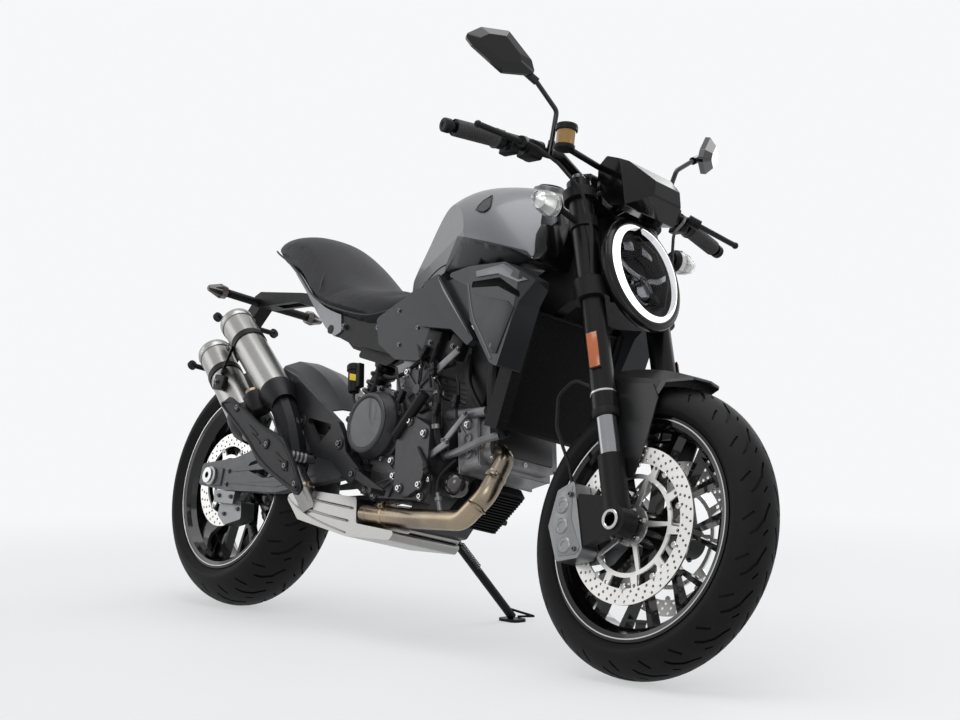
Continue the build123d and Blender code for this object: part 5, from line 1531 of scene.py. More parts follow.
# ------------------------------------------------------------------ bodywork
@dataclass
class Cushion:
    """One-piece saddle: padded, crowned, with a welt along its lower edge."""

    voxel: float = 0.006
    shrink: float = 0.004
    pressure: float = 3.6
    frames: int = 20
    cap: float = 0.007

    def build(self, bench: Bench) -> None:
        """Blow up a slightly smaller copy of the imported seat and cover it."""
        seat = bench.taken("seat")
        bench.apply(seat, "REMESH", mode="VOXEL", voxel_size=self.voxel)
        bench.edit(seat)
        bpy.ops.transform.shrink_fatten(value=-self.shrink)
        bench.done()
        bench.apply(seat, "SMOOTH", factor=0.5, iterations=3)
        self.blow(bench, seat)
        bench.apply(seat, "SUBSURF", levels=1, render_levels=1)
        piece = bench.deliver(seat, "seat_cushion", Look.SEAT, CHASSIS, 60, drawn=False)
        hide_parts("seat")
        self.seams(bench)

    def blow(self, bench: Bench, seat: Piece) -> None:
        """Inflate the cover as cloth and cap how far it moves."""
        before = [vertex.co.copy() for vertex in seat.data.vertices]
        bench.alone(seat)
        cloth = seat.modifiers.new("cover", "CLOTH")
        cloth.settings.use_pressure = True
        cloth.settings.uniform_pressure_force = self.pressure
        cloth.settings.effector_weights.gravity = 0.0
        cloth.settings.quality = 4
        cloth.settings.tension_stiffness = 30
        cloth.collision_settings.use_self_collision = False
        for number in range(1, self.frames + 1):
            bpy.context.scene.frame_set(number)
        bpy.ops.object.modifier_apply(modifier=cloth.name)
        bpy.context.scene.frame_set(1)
        for vertex, start in zip(seat.data.vertices, before):
            step = vertex.co - start
            if step.length > self.cap:
                vertex.co = start + step * (self.cap / step.length)

    def seams(self, bench: Bench) -> None:
        """Welt round the saddle's lower edge and the stitched line across the waist."""
        lower = [(-8, 934), (40, 918), (110, 893), (200, 850), (290, 790), (370, 762),
                 (436, 748), (505, 736), (575, 732), (626, 756)]
        waist = [(250, 0), (262, 60), (290, 108), (330, 136)]
        welts = []
        for side in SIDES:
            welts.append(bench.hose(bench.traced("seat", lower, side), 2.6))
            found = [bench.touch("seat", (x, side * y, 1300), (0, 0, -1)) for x, y in waist]
            line = [place + Vector((0, 0, 0.6)) for place, _ in filter(None, found)]
            welts.append(bench.hose(line, 1.6))
        bench.deliver(welts, "seat_welts", Look.WELT, CHASSIS, 60)


@dataclass
class TankTrim:
    """Seams, mesh intake, key lock and cap ring of the tank."""

    filler: Point = (985.0, 0.0, 1050.0)
    skin_lift: float = 0.0008

    def build(self, bench: Bench) -> None:
        """Model the tank's trim and the cap."""
        self.skins(bench)
        self.seams(bench)
        self.intakes(bench)
        cap = bench.lathe(
            [(30.8, 0.6), (30.8, 7.2), (29.4, 8.8), (20, 9.4), (19, 8.4), (0, 8.4), (0, 0.6)], 64)
        bench.shift(cap, self.filler)
        keyway = bench.plate([(972, 1056), (998, 1056), (998, 1061.2), (972, 1061.2)], -7, 7, 2.0)
        lid = bench.deliver([cap, keyway], "fuel_cap_lid", Look.CAST_BLACK, CAP)
        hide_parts("fuel_cap")
        collar = bench.lathe(
            [(31.6, 0), (40.4, 0), (40.4, 1.6), (39, 3.0), (33, 3.0), (31.6, 1.6)], 64, True)
        x, y, z = self.filler
        bench.shift(collar, (x, y, z - 0.4))
        screws = bench.ring(bench.shift(bench.bolt(2.6, 2.0), (36, 0, 0)), 6)
        bench.shift(screws, (x, y, z + 2))
        bench.deliver(collar, "fuel_cap_collar", Look.BOLT, CHASSIS)
        bench.deliver(screws, "fuel_cap_screws", Look.BOLT, CHASSIS)

    def seams(self, bench: Bench) -> None:
        """Dark shut lines where the tank's covers meet."""
        lines = (((900, 892), (980, 876), (1060, 862), (1140, 850)),
                 ((1112, 1000), (1120, 950), (1124, 905), (1140, 862)),
                 ((655, 800), (720, 828), (790, 846), (826, 846)))
        cords = []
        for side in SIDES:
            for line in lines:
                points = bench.traced("fuel_tank", line, side)
                if len(points) > 2:
                    cords.append(bench.hose(points, 1.5, 1))
        bench.deliver(cords, "tank_shut_lines", Look.GAP_AND_SHADE, CHASSIS)

    def skin(self, bench: Bench, outline: list[Pair], name: str, finish: Finish) -> None:
        """Lay a thin sheet over the tank, outside an outline seen from the side: a real cover, or
        a sheet of painted shade.

        Args:
            bench: The modelling bench.
            outline: The part of the tank that the sheet leaves free.
            name: The sheet's name.
            finish: What it is finished in.
        """
        # For the nose this is a real cover; for the lower flanks it is a sheet of painted shade.
        cover = bench.taken("fuel_tank")
        cutter = bench.plate(outline, -OUTSIDE, OUTSIDE)
        bench.cut(cover, bench.move(cutter, bench.frames[Base.BIKE]))
        bench.edit(cover)
        bpy.ops.transform.shrink_fatten(value=self.skin_lift)
        bench.done()
        bench.deliver(cover, name, finish, CHASSIS, 30, drawn=False)

    def skins(self, bench: Bench) -> None:
        """Black nose cover, and a charcoal sheet of painted shade on the lower flanks below the
        crease.
        """
        nose = [(400, 500), (400, 1300), (1500, 1300), (1500, 1012), (1084, 1012), (1108, 985),
                (1117, 950), (1121, 905), (1137, 862), (1142, 830), (1142, 500)]
        upper = [(400, 500), (400, 1300), (1500, 1300), (1500, 500), (1134, 500), (1134, 850),
                 (1119, 862), (880, 904), (824, 842), (790, 500)]
        self.skin(bench, nose, "tank_nose_cover", Look.PANEL_BLACK)
        # Painted shade: below the crease the tank keeps its own grey paint and only faces down,
        # out of the light; this charcoal sheet paints that shade.
        self.skin(bench, upper, "tank_lower_flanks", Look.TANK_CHARCOAL_AND_SHADE)

    def intakes(self, bench: Bench) -> None:
        """Mesh intake in each shoulder of the tank, with its frame."""
        outline = ((928, 1008), (917, 990), (916, 966), (956, 955), (965, 968), (946, 990))
        meshes, frames = [], []
        for side in SIDES:
            points = bench.traced("fuel_tank", outline, side)
            if len(points) < 4:
                continue
            way = Vector((0, side * 1.0, 0.7)).normalized()
            meshes.append(bench.slab([point - way * 3.0 for point in points], way * 5.4))
            loop = [point + way * 1.8 for point in points]
            frames.append(bench.hose([*loop, loop[0], loop[1]], 2.0, 1))
        bench.deliver(meshes, "tank_intake_mesh", Look.GRILLE, CHASSIS)
        bench.deliver(frames, "tank_intake_frames", Look.PLASTIC, CHASSIS)


@dataclass
class PanelTrim:
    """Leaves, screws and edges on the side panels, and painted shade in the scoop throats."""

    node: str = "tank_side_panels"
    leaf: tuple[Pair, ...] = (
        (1000, 812), (1110, 821), (1205, 781), (1180, 776), (1095, 800), (1008, 798))
    strip: tuple[Pair, ...] = (
        (838, 812), (882, 810), (984, 712), (1026, 662), (1000, 668), (960, 700), (870, 776))
    wing: tuple[Pair, ...] = (
        (1000, 760), (1150, 736), (1180, 720), (1144, 622), (1122, 624), (1030, 706))
    throat: tuple[Pair, ...] = (
        (991, 777), (1100, 773), (1188, 743), (1185, 755), (1100, 791), (991, 789))
    edge: tuple[Pair, ...] = ((973, 787), (1015, 707), (1065, 669), (1125, 611), (1155, 602))
    screws: tuple[Pair, ...] = ((676, 742), (760, 700), (700, 660), (1004, 706), (1118, 640))

    def sheet(self, bench: Bench, outline: Sequence[Pair], side: int, thick: float,
              edge: float) -> list[Piece]:
        """A thin leaf that follows the panel, or nothing where its outline misses it."""
        points = bench.traced(self.node, outline, side)
        return [bench.slab(points, (0, side * thick, 0), edge)] if len(points) > 3 else []

    def build(self, bench: Bench) -> None:
        """Model what is fixed to the panels on both sides."""
        leaves, screws, edges, throat_shades, wings = [], [], [], [], []
        for side in SIDES:
            leaves += self.sheet(bench, self.leaf, side, 3.5, 1.2)
            for x, z in self.screws:
                hit = bench.touch(self.node, (x, side * OUTSIDE, z), (0, -side, 0))
                if hit:
                    screws.append(bench.plant(bench.bolt(4.4, 3.4), *hit))
            line = bench.traced(self.node, self.edge, side)
            if len(line) > 2:
                edges.append(bench.hose(line, 2.2, 1))
            leaves += self.sheet(bench, self.strip, side, 2.4, 1.0)
            wings += self.sheet(bench, self.wing, side, 3.0, 1.4)
            # Painted shade: a near-black sheet in the scoop's throat under the leaf, where the
            # recess is in shade.
            throat_shades.append(bench.plate(self.throat, side * 174, side * 177.5))
        bench.deliver(leaves, "scoop_leaves", Look.TANK, CHASSIS)
        bench.deliver(wings, "side_wings", Look.TANK_CHARCOAL_AND_SHADE, CHASSIS)
        bench.deliver(screws, "panel_screws", Look.BOLT, CHASSIS)
        bench.deliver(edges, "panel_edges", Look.TANK, CHASSIS)
        bench.deliver(throat_shades, "scoop_throats", Look.GAP_AND_SHADE, CHASSIS)


@dataclass
class Tail:
    """Tail lamp, plate bracket and rear indicators."""

    def build(self, bench: Bench) -> None:
        """Model the lamp in its recess and dress the plate holder."""
        lamp = bench.aim((98, 0, 884), (-0.44, 0, -0.9))
        tray = bench.brick((-54, 54), (-18, 18), 2, 8, 3.0)
        lens = bench.brick((-49, 49), (-14, 14), 9, 5, 3.0)
        bench.deliver(bench.move(tray, lamp), "tail_lamp_body", Look.PLASTIC, CHASSIS)
        bench.deliver(bench.move(lens, lamp), "tail_lamp_lens", Look.RED, CHASSIS)
        screws, lenses = [], []
        for side in SIDES:
            screws.append(bench.scatter(bench.bolt(6.0, 4.0), [
                (432, side * 113, 712), (578, side * 113, 708)], (0, side, 0)))
            frame = bench.aim((-120, side * 124, 808), (-0.06, side, 0))
            glow = bench.lathe([(0, 8), (15.4, 8), (17.6, 26), (7.2, 61), (0, 63)], 8)
            lenses.append(bench.move(glow, frame @ Matrix.Diagonal((1.0, 1.14, 1.0, 1.0))))
        bench.deliver(screws, "subframe_screws", Look.BOLT, CHASSIS)
        bench.deliver(lenses, "rear_indicator_lenses", Look.SMOKE, CHASSIS, 15)
        lamp_body = bench.slab([
            (-178, -22, 770), (-178, 22, 770), (-196, 22, 748), (-196, -22, 748)], (-9, 0, 7), 3.0)
        bench.deliver(lamp_body, "plate_lamp", Look.PLASTIC, CHASSIS)


def build_body(bench: Bench) -> None:
    """Model the saddle, the tank's trim, the panels and the tail."""
    Cushion().build(bench)
    TankTrim().build(bench)
    PanelTrim().build(bench)
    Tail().build(bench)


# ------------------------------------------------------------------ engine and cooling
@dataclass
class Covers:
    """Ribs, flanges, screws and pockets of the engine's side covers."""

    clutch_x: float = 675.0
    clutch_z: float = 467.0
    flange_y: float = -118.4
    face_y: float = -164.8
    alternator: Point = (812.0, 118.4, 396.0)

    def rib(self, bench: Bench, start: Pair, end: Pair,
            low: float, high: float, width: float = 4.5) -> Piece:
        """A cast rib between two points of a side face."""
        a, b = Vector(start), Vector(end)
        along = (b - a).normalized() * width / 2
        across = Vector((-along.y, along.x))
        outline = [a + across, b + across * 0.6, b - across * 0.6, a - across]
        return bench.plate(outline, low, high, 1.0, 1)

    def build(self, bench: Bench) -> None:
        """Model the right and left covers' details."""
        self.clutch(bench)
        self.case(bench)
        self.left(bench)

    def clutch(self, bench: Bench) -> None:
        """Clutch cover: bolted flange, rounded shoulder, rim, face and wedge pocket."""
        seat = bench.aim((self.clutch_x, self.flange_y, self.clutch_z), RIGHT)
        flange = bench.lathe([(79, 0), (91, 0), (91, 7), (88, 9.5), (79, 9.5)], 64, True)
        bosses = bench.ring(bench.shift(
            bench.lathe([(0, 0), (9, 0), (8, 13), (0, 13)], 16), (89, 0, 0)), 9, start=0.35)
        bench.deliver(bench.move(
            bench.join(flange, bosses), seat), "clutch_cover_flange", Look.ENGINE, CHASSIS)
        screws = bench.ring(bench.shift(bench.bolt(5.0, 6.0), (89, 0, 13)), 9, start=0.35)
        bench.deliver(bench.move(screws, seat), "clutch_cover_screws", Look.BOLT, CHASSIS)
        top = bench.aim((self.clutch_x, self.face_y, self.clutch_z), RIGHT)
        rim = bench.lathe(
            [(59, -2), (71, -2), (71, 0.6), (68.5, 3.4), (64, 4.2), (60.5, 2.4), (59, 0.4)], 72,
            True)
        bench.deliver(bench.move(rim, top), "clutch_cover_rim", Look.ENGINE, CHASSIS)
        face = bench.lathe([(0, -1), (59, -1), (58, 1.0), (20, 1.8), (0, 1.8)], 72)
        bench.move(face, top)
        wedge = bench.plate(
            [(672, 530), (702, 521), (711, 476), (700, 462), (684, 480)], -176, -165.6, 2.0)
        bench.cut(face, wedge)
        line = bench.plate(
            [(612, 452), (676, 440), (736, 452), (736, 449), (676, 436.5), (612, 449)], -176,
            -166.0)
        bench.cut(face, line)
        bench.deliver(face, "clutch_cover_face", Look.ENGINE_FACE, CHASSIS)
        floor = bench.plate(
            [(673, 528), (701, 519.5), (709, 477), (700, 464), (686, 481)], -165.4, -163.5, 1.0)
        bench.deliver(floor, "clutch_pocket_floor", Look.ENGINE, CHASSIS)

    def case(self, bench: Bench) -> None:
        """Webbed lower case, webbed upper cover, bosses and their screws."""
        lower = bench.plate([
            (688, 386), (742, 398), (800, 384), (862, 402), (922, 352), (896, 302), (718, 298),
            (684, 332)], -134, -118.2, 5.0)
        ribs = [self.rib(bench, (792, 352), end, -139, -130) for end in (
            (700, 328), (722, 306), (776, 303), (838, 306), (890, 312), (908, 348), (866, 392),
            (742, 390), (700, 362))]
        hub = bench.lathe([(0, 0), (22, 0), (20, 9), (14, 10), (12, 6), (0, 6)], 28)
        ribs.append(bench.plant(hub, (792, -132, 352), RIGHT))
        bench.deliver([lower, *ribs], "lower_case_webs", Look.ENGINE, CHASSIS)
        upper = bench.plate(
            [(742, 604), (826, 604), (868, 566), (866, 520), (812, 500), (766, 530), (736, 566)],
            -127, -112, 5.0)
        webs = [self.rib(bench, (798, 556), end, -132, -123, 4.0) for end in (
            (746, 598), (792, 600), (838, 588), (862, 552), (846, 514), (806, 506), (770, 534),
            (744, 566))]
        boss = bench.lathe([(0, 0), (14, 0), (12, 8), (0, 8)], 20)
        webs.append(bench.plant(boss, (798, -125, 556), RIGHT))
        bench.deliver([upper, *webs], "upper_cover_webs", Look.ENGINE, CHASSIS)
        bench.deliver(bench.rod((853, -146, 543), (779, -152, 440), 13, 11, edge=2.0),
                      "crossover_tube", Look.PLASTIC, CHASSIS)
        heads = [
            (759, -134, 387), (669, -126, 317), (788, -142, 352), (716, -134, 306),
            (890, -134, 312), (912, -134, 350), (854, -134, 396), (748, -127, 596),
            (852, -127, 590), (860, -127, 522), (880, -149, 452), (820, -149, 478),
            (896, -149, 336), (826, -149, 324)]
        screws = bench.scatter(bench.bolt(6.2, 6.0), heads, RIGHT)
        bench.deliver(screws, "right_case_screws", Look.BRIGHT, CHASSIS)
        rings = bench.lathe([(8.2, 0), (12.5, 0), (12.0, 3), (8.2, 3)], 20, True)
        lugs = bench.scatter(rings, [(x, y + 0.6, z) for x, y, z in heads], RIGHT)
        bench.deliver(lugs, "right_case_bosses", Look.ENGINE, CHASSIS)

    def left(self, bench: Bench) -> None:
        """Alternator cover's rim, ribs and screws, and the sprocket cover's."""
        seat = bench.aim(self.alternator, LEFT)
        flange = bench.lathe([(63, 0), (76, 0), (76, 7), (73, 10), (63, 10)], 56, True)
        rim = bench.lathe([(40, 43), (53, 43), (52, 46), (46, 47), (40, 44)], 56, True)
        ribs = bench.ring(bench.slab(
            [(18, -2.2, 43), (44, -1.6, 43), (44, 1.6, 43), (18, 2.2, 43)], (0, 0, 3), 0.8, 1), 8)
        bench.deliver(bench.move(
            bench.join(flange, rim, ribs), seat), "alternator_flange", Look.ENGINE, CHASSIS)
        screws = bench.ring(bench.shift(bench.bolt(5.0, 5.0), (70, 0, 9)), 8)
        bench.move(screws, seat)
        x, _, z = self.alternator
        cap = bench.plant(bench.bolt(13.0, 5.0, hexagon=True), (x, 161.6, z), LEFT)
        cover = bench.scatter(bench.bolt(4.6, 4.0), [
            (716, 140, 350), (636, 140, 346), (628, 140, 440), (722, 140, 444)], LEFT)
        bench.deliver([screws, cap, cover], "left_case_screws", Look.BOLT, CHASSIS)
        grille = [self.rib(
            bench, (628 + 12 * n, 362), (634 + 12 * n, 430), 139.6, 143.0, 4.0) for n in range(8)]
        bench.deliver(grille, "sprocket_cover_ribs", Look.PLASTIC, CHASSIS)


@dataclass
class Cylinders:
    """Head covers, fins, screws and pipes of the two cylinders."""

    fins: int = 7
    fin_half: float = 79.0
    fin_foot: float = 22.0
    fin_pitch: float = 12.0
    hoses: tuple[tuple[tuple[Point, ...], float, int], ...] = (
        (((1040, -112, 662), (1052, -124, 610), (1066, -122, 540), (1074, -116, 500),
          (1092, -96, 458)), 15.0, 3),
        (((862, -118, 556), (884, -132, 524), (900, -134, 470), (916, -126, 428),
          (930, -112, 400)), 11.0, 3),
        (((930, -96, 640), (952, -116, 590), (986, -122, 552), (1012, -110, 520)), 8.0, 2),
        (((760, -104, 640), (800, -120, 618), (842, -122, 604), (890, -108, 622)), 6.5, 2),
        (((640, -112, 590), (690, -124, 578), (742, -122, 600), (790, -112, 640)), 5.0, 2),
        (((700, 112, 560), (760, 128, 520), (860, 130, 500), (960, 118, 540),
          (1060, 112, 560)), 9.0, 2),
    )

    def build(self, bench: Bench) -> None:
        """Dress the front and the rear cylinder."""
        for name, origin, angle, width, height in ((
                "front", (850, 0, 404), 17.0, 214, 132), ("rear", (770, 0, 470), 107.0, 184, 160)):
            turn = Matrix.Rotation(QUARTER - math.radians(angle), 4, "Y")
            self.head(bench, name, Matrix.Translation(origin) @ turn, width / 2, height / 2)
        self.pipes(bench)

    def head(self, bench: Bench, name: str, frame: Matrix, half_y: float, half_x: float) -> None:
        """One head: cover rim, screws, side bosses and barrel fins.

        Args:
            bench: The modelling bench.
            name: Which cylinder.
            frame: The cylinder's frame, with Z along its bore.
            half_y: Half the head's width across the machine.
            half_x: Half its size the other way.
        """
        parts = []
        for n in range(self.fins):
            edge = half_x - 1.5
            parts.append(bench.brick(
                (-edge, edge), (-self.fin_half, self.fin_half), self.fin_foot + n * self.fin_pitch,
                3.4, 1.0, 1))
        for z, grow in ((110, 1.5), (173, -2.0)):
            a, b = half_x + grow, half_y + grow
            parts.append(bench.brick((-a, a), (-b, b), z, 6.0, 2.4))
        for side in SIDES:
            for x in (-38, -6, 28):
                boss = bench.lathe([(0, 0), (13, 0), (12, 5), (8, 6), (7, 3), (0, 3)], 20)
                parts.append(bench.plant(boss, (x, side * (half_y - 0.5), 146), (0, side, 0)))
            y = side * (half_y - 1)
            parts.append(bench.slab(
                [(-50, y, 118), (-44, y, 118), (40, y, 170), (34, y, 170)], (0, side * 5.0, 0),
                1.2, 1))
        bench.deliver(bench.move(
            bench.join(*parts), frame), f"{name}_cylinder_castings", Look.ALLOY, CHASSIS)
        places = [(x * (half_x - 16), y * (half_y - 14), 207) for x in (-1, 1) for y in (-1, 0, 1)]
        screws = bench.scatter(bench.bolt(5.2, 5.0), places, (0, 0, 1))
        sides = bench.scatter(
            bench.bolt(6.0, 5.0), [(x, -half_y - 3, 146) for x in (-38, 28)], RIGHT)
        bench.deliver(bench.move(
            bench.join(screws, sides), frame), f"{name}_head_screws", Look.BRIGHT, CHASSIS)
        cover = bench.brick((26 - half_x, half_x - 26), (24 - half_y, half_y - 24), 206, 7.0, 4.0)
        bench.deliver(bench.move(cover, frame), f"{name}_head_lid", Look.ENGINE, CHASSIS)

    def pipes(self, bench: Bench) -> None:
        """Coolant pipe, rail, hoses, filter and the exhaust sensor."""
        rail = bench.rod((906, -112, 500), (1040, -112, 514), 11.5, 10.5, edge=2.0)
        pipe = bench.hose([
            (918, -112, 408), (960, -122, 413), (1010, -126, 428), (1060, -120, 452),
            (1092, -108, 462)], 9.0)
        bench.deliver([rail, pipe], "coolant_pipes", Look.ALLOY, CHASSIS)
        hoses = [bench.hose(path, radius, sides) for path, radius, sides in self.hoses]
        bench.deliver(hoses, "engine_hoses", Look.HOSE, CHASSIS)
        clips = []
        for place, way, size in (((1074, -117, 500), (0.2, 0.1, -1), 15.4),
                                 ((1044, -116, 640), (0.2, -0.2, -1), 15.4),
                                 ((902, -134, 470), (0.2, 0.1, -1), 11.4),
                                 ((870, -122, 545), (0.6, -0.4, -1), 11.4)):
            band = bench.lathe(
                [(size - 1, -5), (size + 1.2, -5), (size + 1.2, 5), (size - 1, 5)], 24, True)
            clips.append(bench.plant(band, place, way))
        bench.deliver(clips, "hose_clips", Look.BOLT, CHASSIS)
        canister = bench.lathe(
            [(0, 0), (31, 0), (31, 60), (30, 68), (26, 77), (18, 84), (8, 87), (0, 87.6)], 40)
        bench.deliver(bench.plant(
            canister, (902, -74, 356), (1, -0.3, -0.1)), "oil_filter", Look.FILTER, CHASSIS)
        wire = bench.hose(
            [(972, -118, 402), (950, -132, 372), (940, -136, 346), (950, -134, 318)], 3.4)
        bench.deliver(wire, "sensor_lead", Look.HOSE, CHASSIS)
        probe = bench.lathe(
            [(0, 0), (6, 0), (6, 22), (9, 22), (9, 30), (5, 30), (5, 40), (0, 40)], 12)
        bench.deliver(bench.plant(
            probe, (962, -128, 286), (-0.3, -0.2, 1)), "exhaust_sensor", Look.BOLT, CHASSIS)


@dataclass
class Cooling:
    """Radiator fins, frame and cap, and the oil cooler's ribs."""

    core: Point = (1122.0, 0.0, 608.0)
    height: float = 250.0
    pitch: float = 4.1
    slope: float = math.radians(8.5)
    louvres: int = 9
    slats: int = 14

    def build(self, bench: Bench) -> None:
        """Model the fins that cross both cores."""
        frame = Matrix.Translation(self.core) @ Matrix.Rotation(QUARTER + self.slope, 4, "Y")
        count = int(self.height / self.pitch)
        fin = bench.brick((0, 1.5), (-117, 117), 14.5, 4.0)
        fins = bench.join(
            *bench.spread(fin, [(-126 + self.pitch * n, 0, 0) for n in range(count)]))
        bench.deliver(bench.move(fins, frame), "radiator_fins", Look.RADIATOR, CHASSIS)
        bars = []
        for low, high in ((-132, -125), (125, 132)):
            bars.append(bench.brick((low, high), (-118, 118), 12, 9, 1.5))
        for side in SIDES:
            for n in range(self.louvres):
                x = -112 + 28 * n
                bars.append(bench.brick((x, x + 3), (side * 120, side * 146), 21, 2.5, 0.6, 1))
        neck = bench.lathe([(0, 0), (17, 0), (17, 10), (21, 10), (21, 20), (18, 22), (0, 22)], 24)
        bars.append(bench.move(
            neck, Matrix.Translation((-134, 96, 0)) @ Matrix.Rotation(-QUARTER, 4, "Y")))
        bench.deliver(
            bench.move(bench.join(*bars), frame), "radiator_frame", Look.PLASTIC, CHASSIS)
        cooler = bench.aim((955, 0, 318), (0.72, 0, -0.69))
        slat = bench.brick((-66, 66), (0, 3), 10.6, 6)
        slats = bench.join(*bench.spread(slat, [(0, -56 + 8.0 * n, 0) for n in range(self.slats)]))
        bench.deliver(bench.move(slats, cooler), "oil_cooler_slats", Look.RADIATOR, CHASSIS)


@dataclass
class Harness:
    """Leads, connectors, coils and brackets round the cylinders."""

    leads: tuple[tuple[Point, ...], ...] = (
        ((760, -126, 668), (790, -138, 642), (812, -138, 610), (806, -132, 574)),
        ((835, -124, 684), (852, -138, 652), (838, -140, 604), (856, -136, 560)),
        ((700, -128, 606), (736, -138, 566), (762, -140, 524), (744, -136, 484)),
        ((880, -138, 566), (908, -144, 532), (902, -144, 482), (912, -138, 442)),
        ((870, -150, 420), (902, -154, 392), (932, -148, 360), (925, -136, 320)),
        ((930, -128, 590), (962, -134, 556), (956, -134, 500), (982, -130, 462)),
    )

    def build(self, bench: Bench) -> None:
        """Model the leads with what they plug into."""
        leads = [bench.hose(lead, 3.2) for lead in self.leads]
        bench.deliver(leads, "engine_leads", Look.HOSE, CHASSIS)
        plugs = []
        for x, y, z, turn in (
                (812, -140, 640, 0.5), (862, -142, 600, -0.3), (905, -146, 508, 0.1),
                (760, -142, 536, 0.4), (958, -138, 528, 0.0), (918, -152, 374, -0.6)):
            body = bench.brick((-7, 7), (-6, 6), -15, 30, 2.0)
            collar = bench.brick((-9, 9), (-8, 8), -3, 5, 1.0, 1)
            plugs.append(bench.move(bench.join(body, collar), Matrix.Translation(
                (x, y, z)) @ Matrix.Rotation(turn, 4, "Y")))
        bench.deliver(plugs, "engine_connectors", Look.PLASTIC, CHASSIS)
        coils = [bench.plate([(788, 634), (846, 628), (856, 690), (804, 700)], -134, -108, 5.0),
                 bench.plate([(872, 640), (920, 622), (934, 668), (890, 690)], -130, -104, 5.0)]
        bench.deliver(coils, "ignition_coils", Look.PLASTIC, CHASSIS)
        arms = [bench.plate([(846, 596), (862, 584), (938, 640), (930, 656)], -139, -134, 2.0),
                bench.plate([(930, 440), (944, 432), (1004, 500), (994, 510)], -137, -131, 2.0),
                bench.plate([(884, 404), (906, 398), (962, 430), (956, 446)], -141, -135, 2.0)]
        bench.deliver(arms, "engine_brackets", Look.ALLOY, CHASSIS)
        heads = [(856, -139, 592), (932, -139, 646), (938, -137, 440), (996, -137, 502),
                 (896, -141, 404), (956, -141, 436), (820, -134, 664), (900, -130, 656)]
        screws = bench.scatter(bench.bolt(4.6, 4.0), heads, RIGHT)
        bench.deliver(screws, "bracket_screws", Look.BOLT, CHASSIS)


def build_engine(bench: Bench) -> None:
    """Model the engine's covers, cylinders, pipes and cooling."""
    Covers().build(bench)
    Cylinders().build(bench)
    Harness().build(bench)
    Cooling().build(bench)


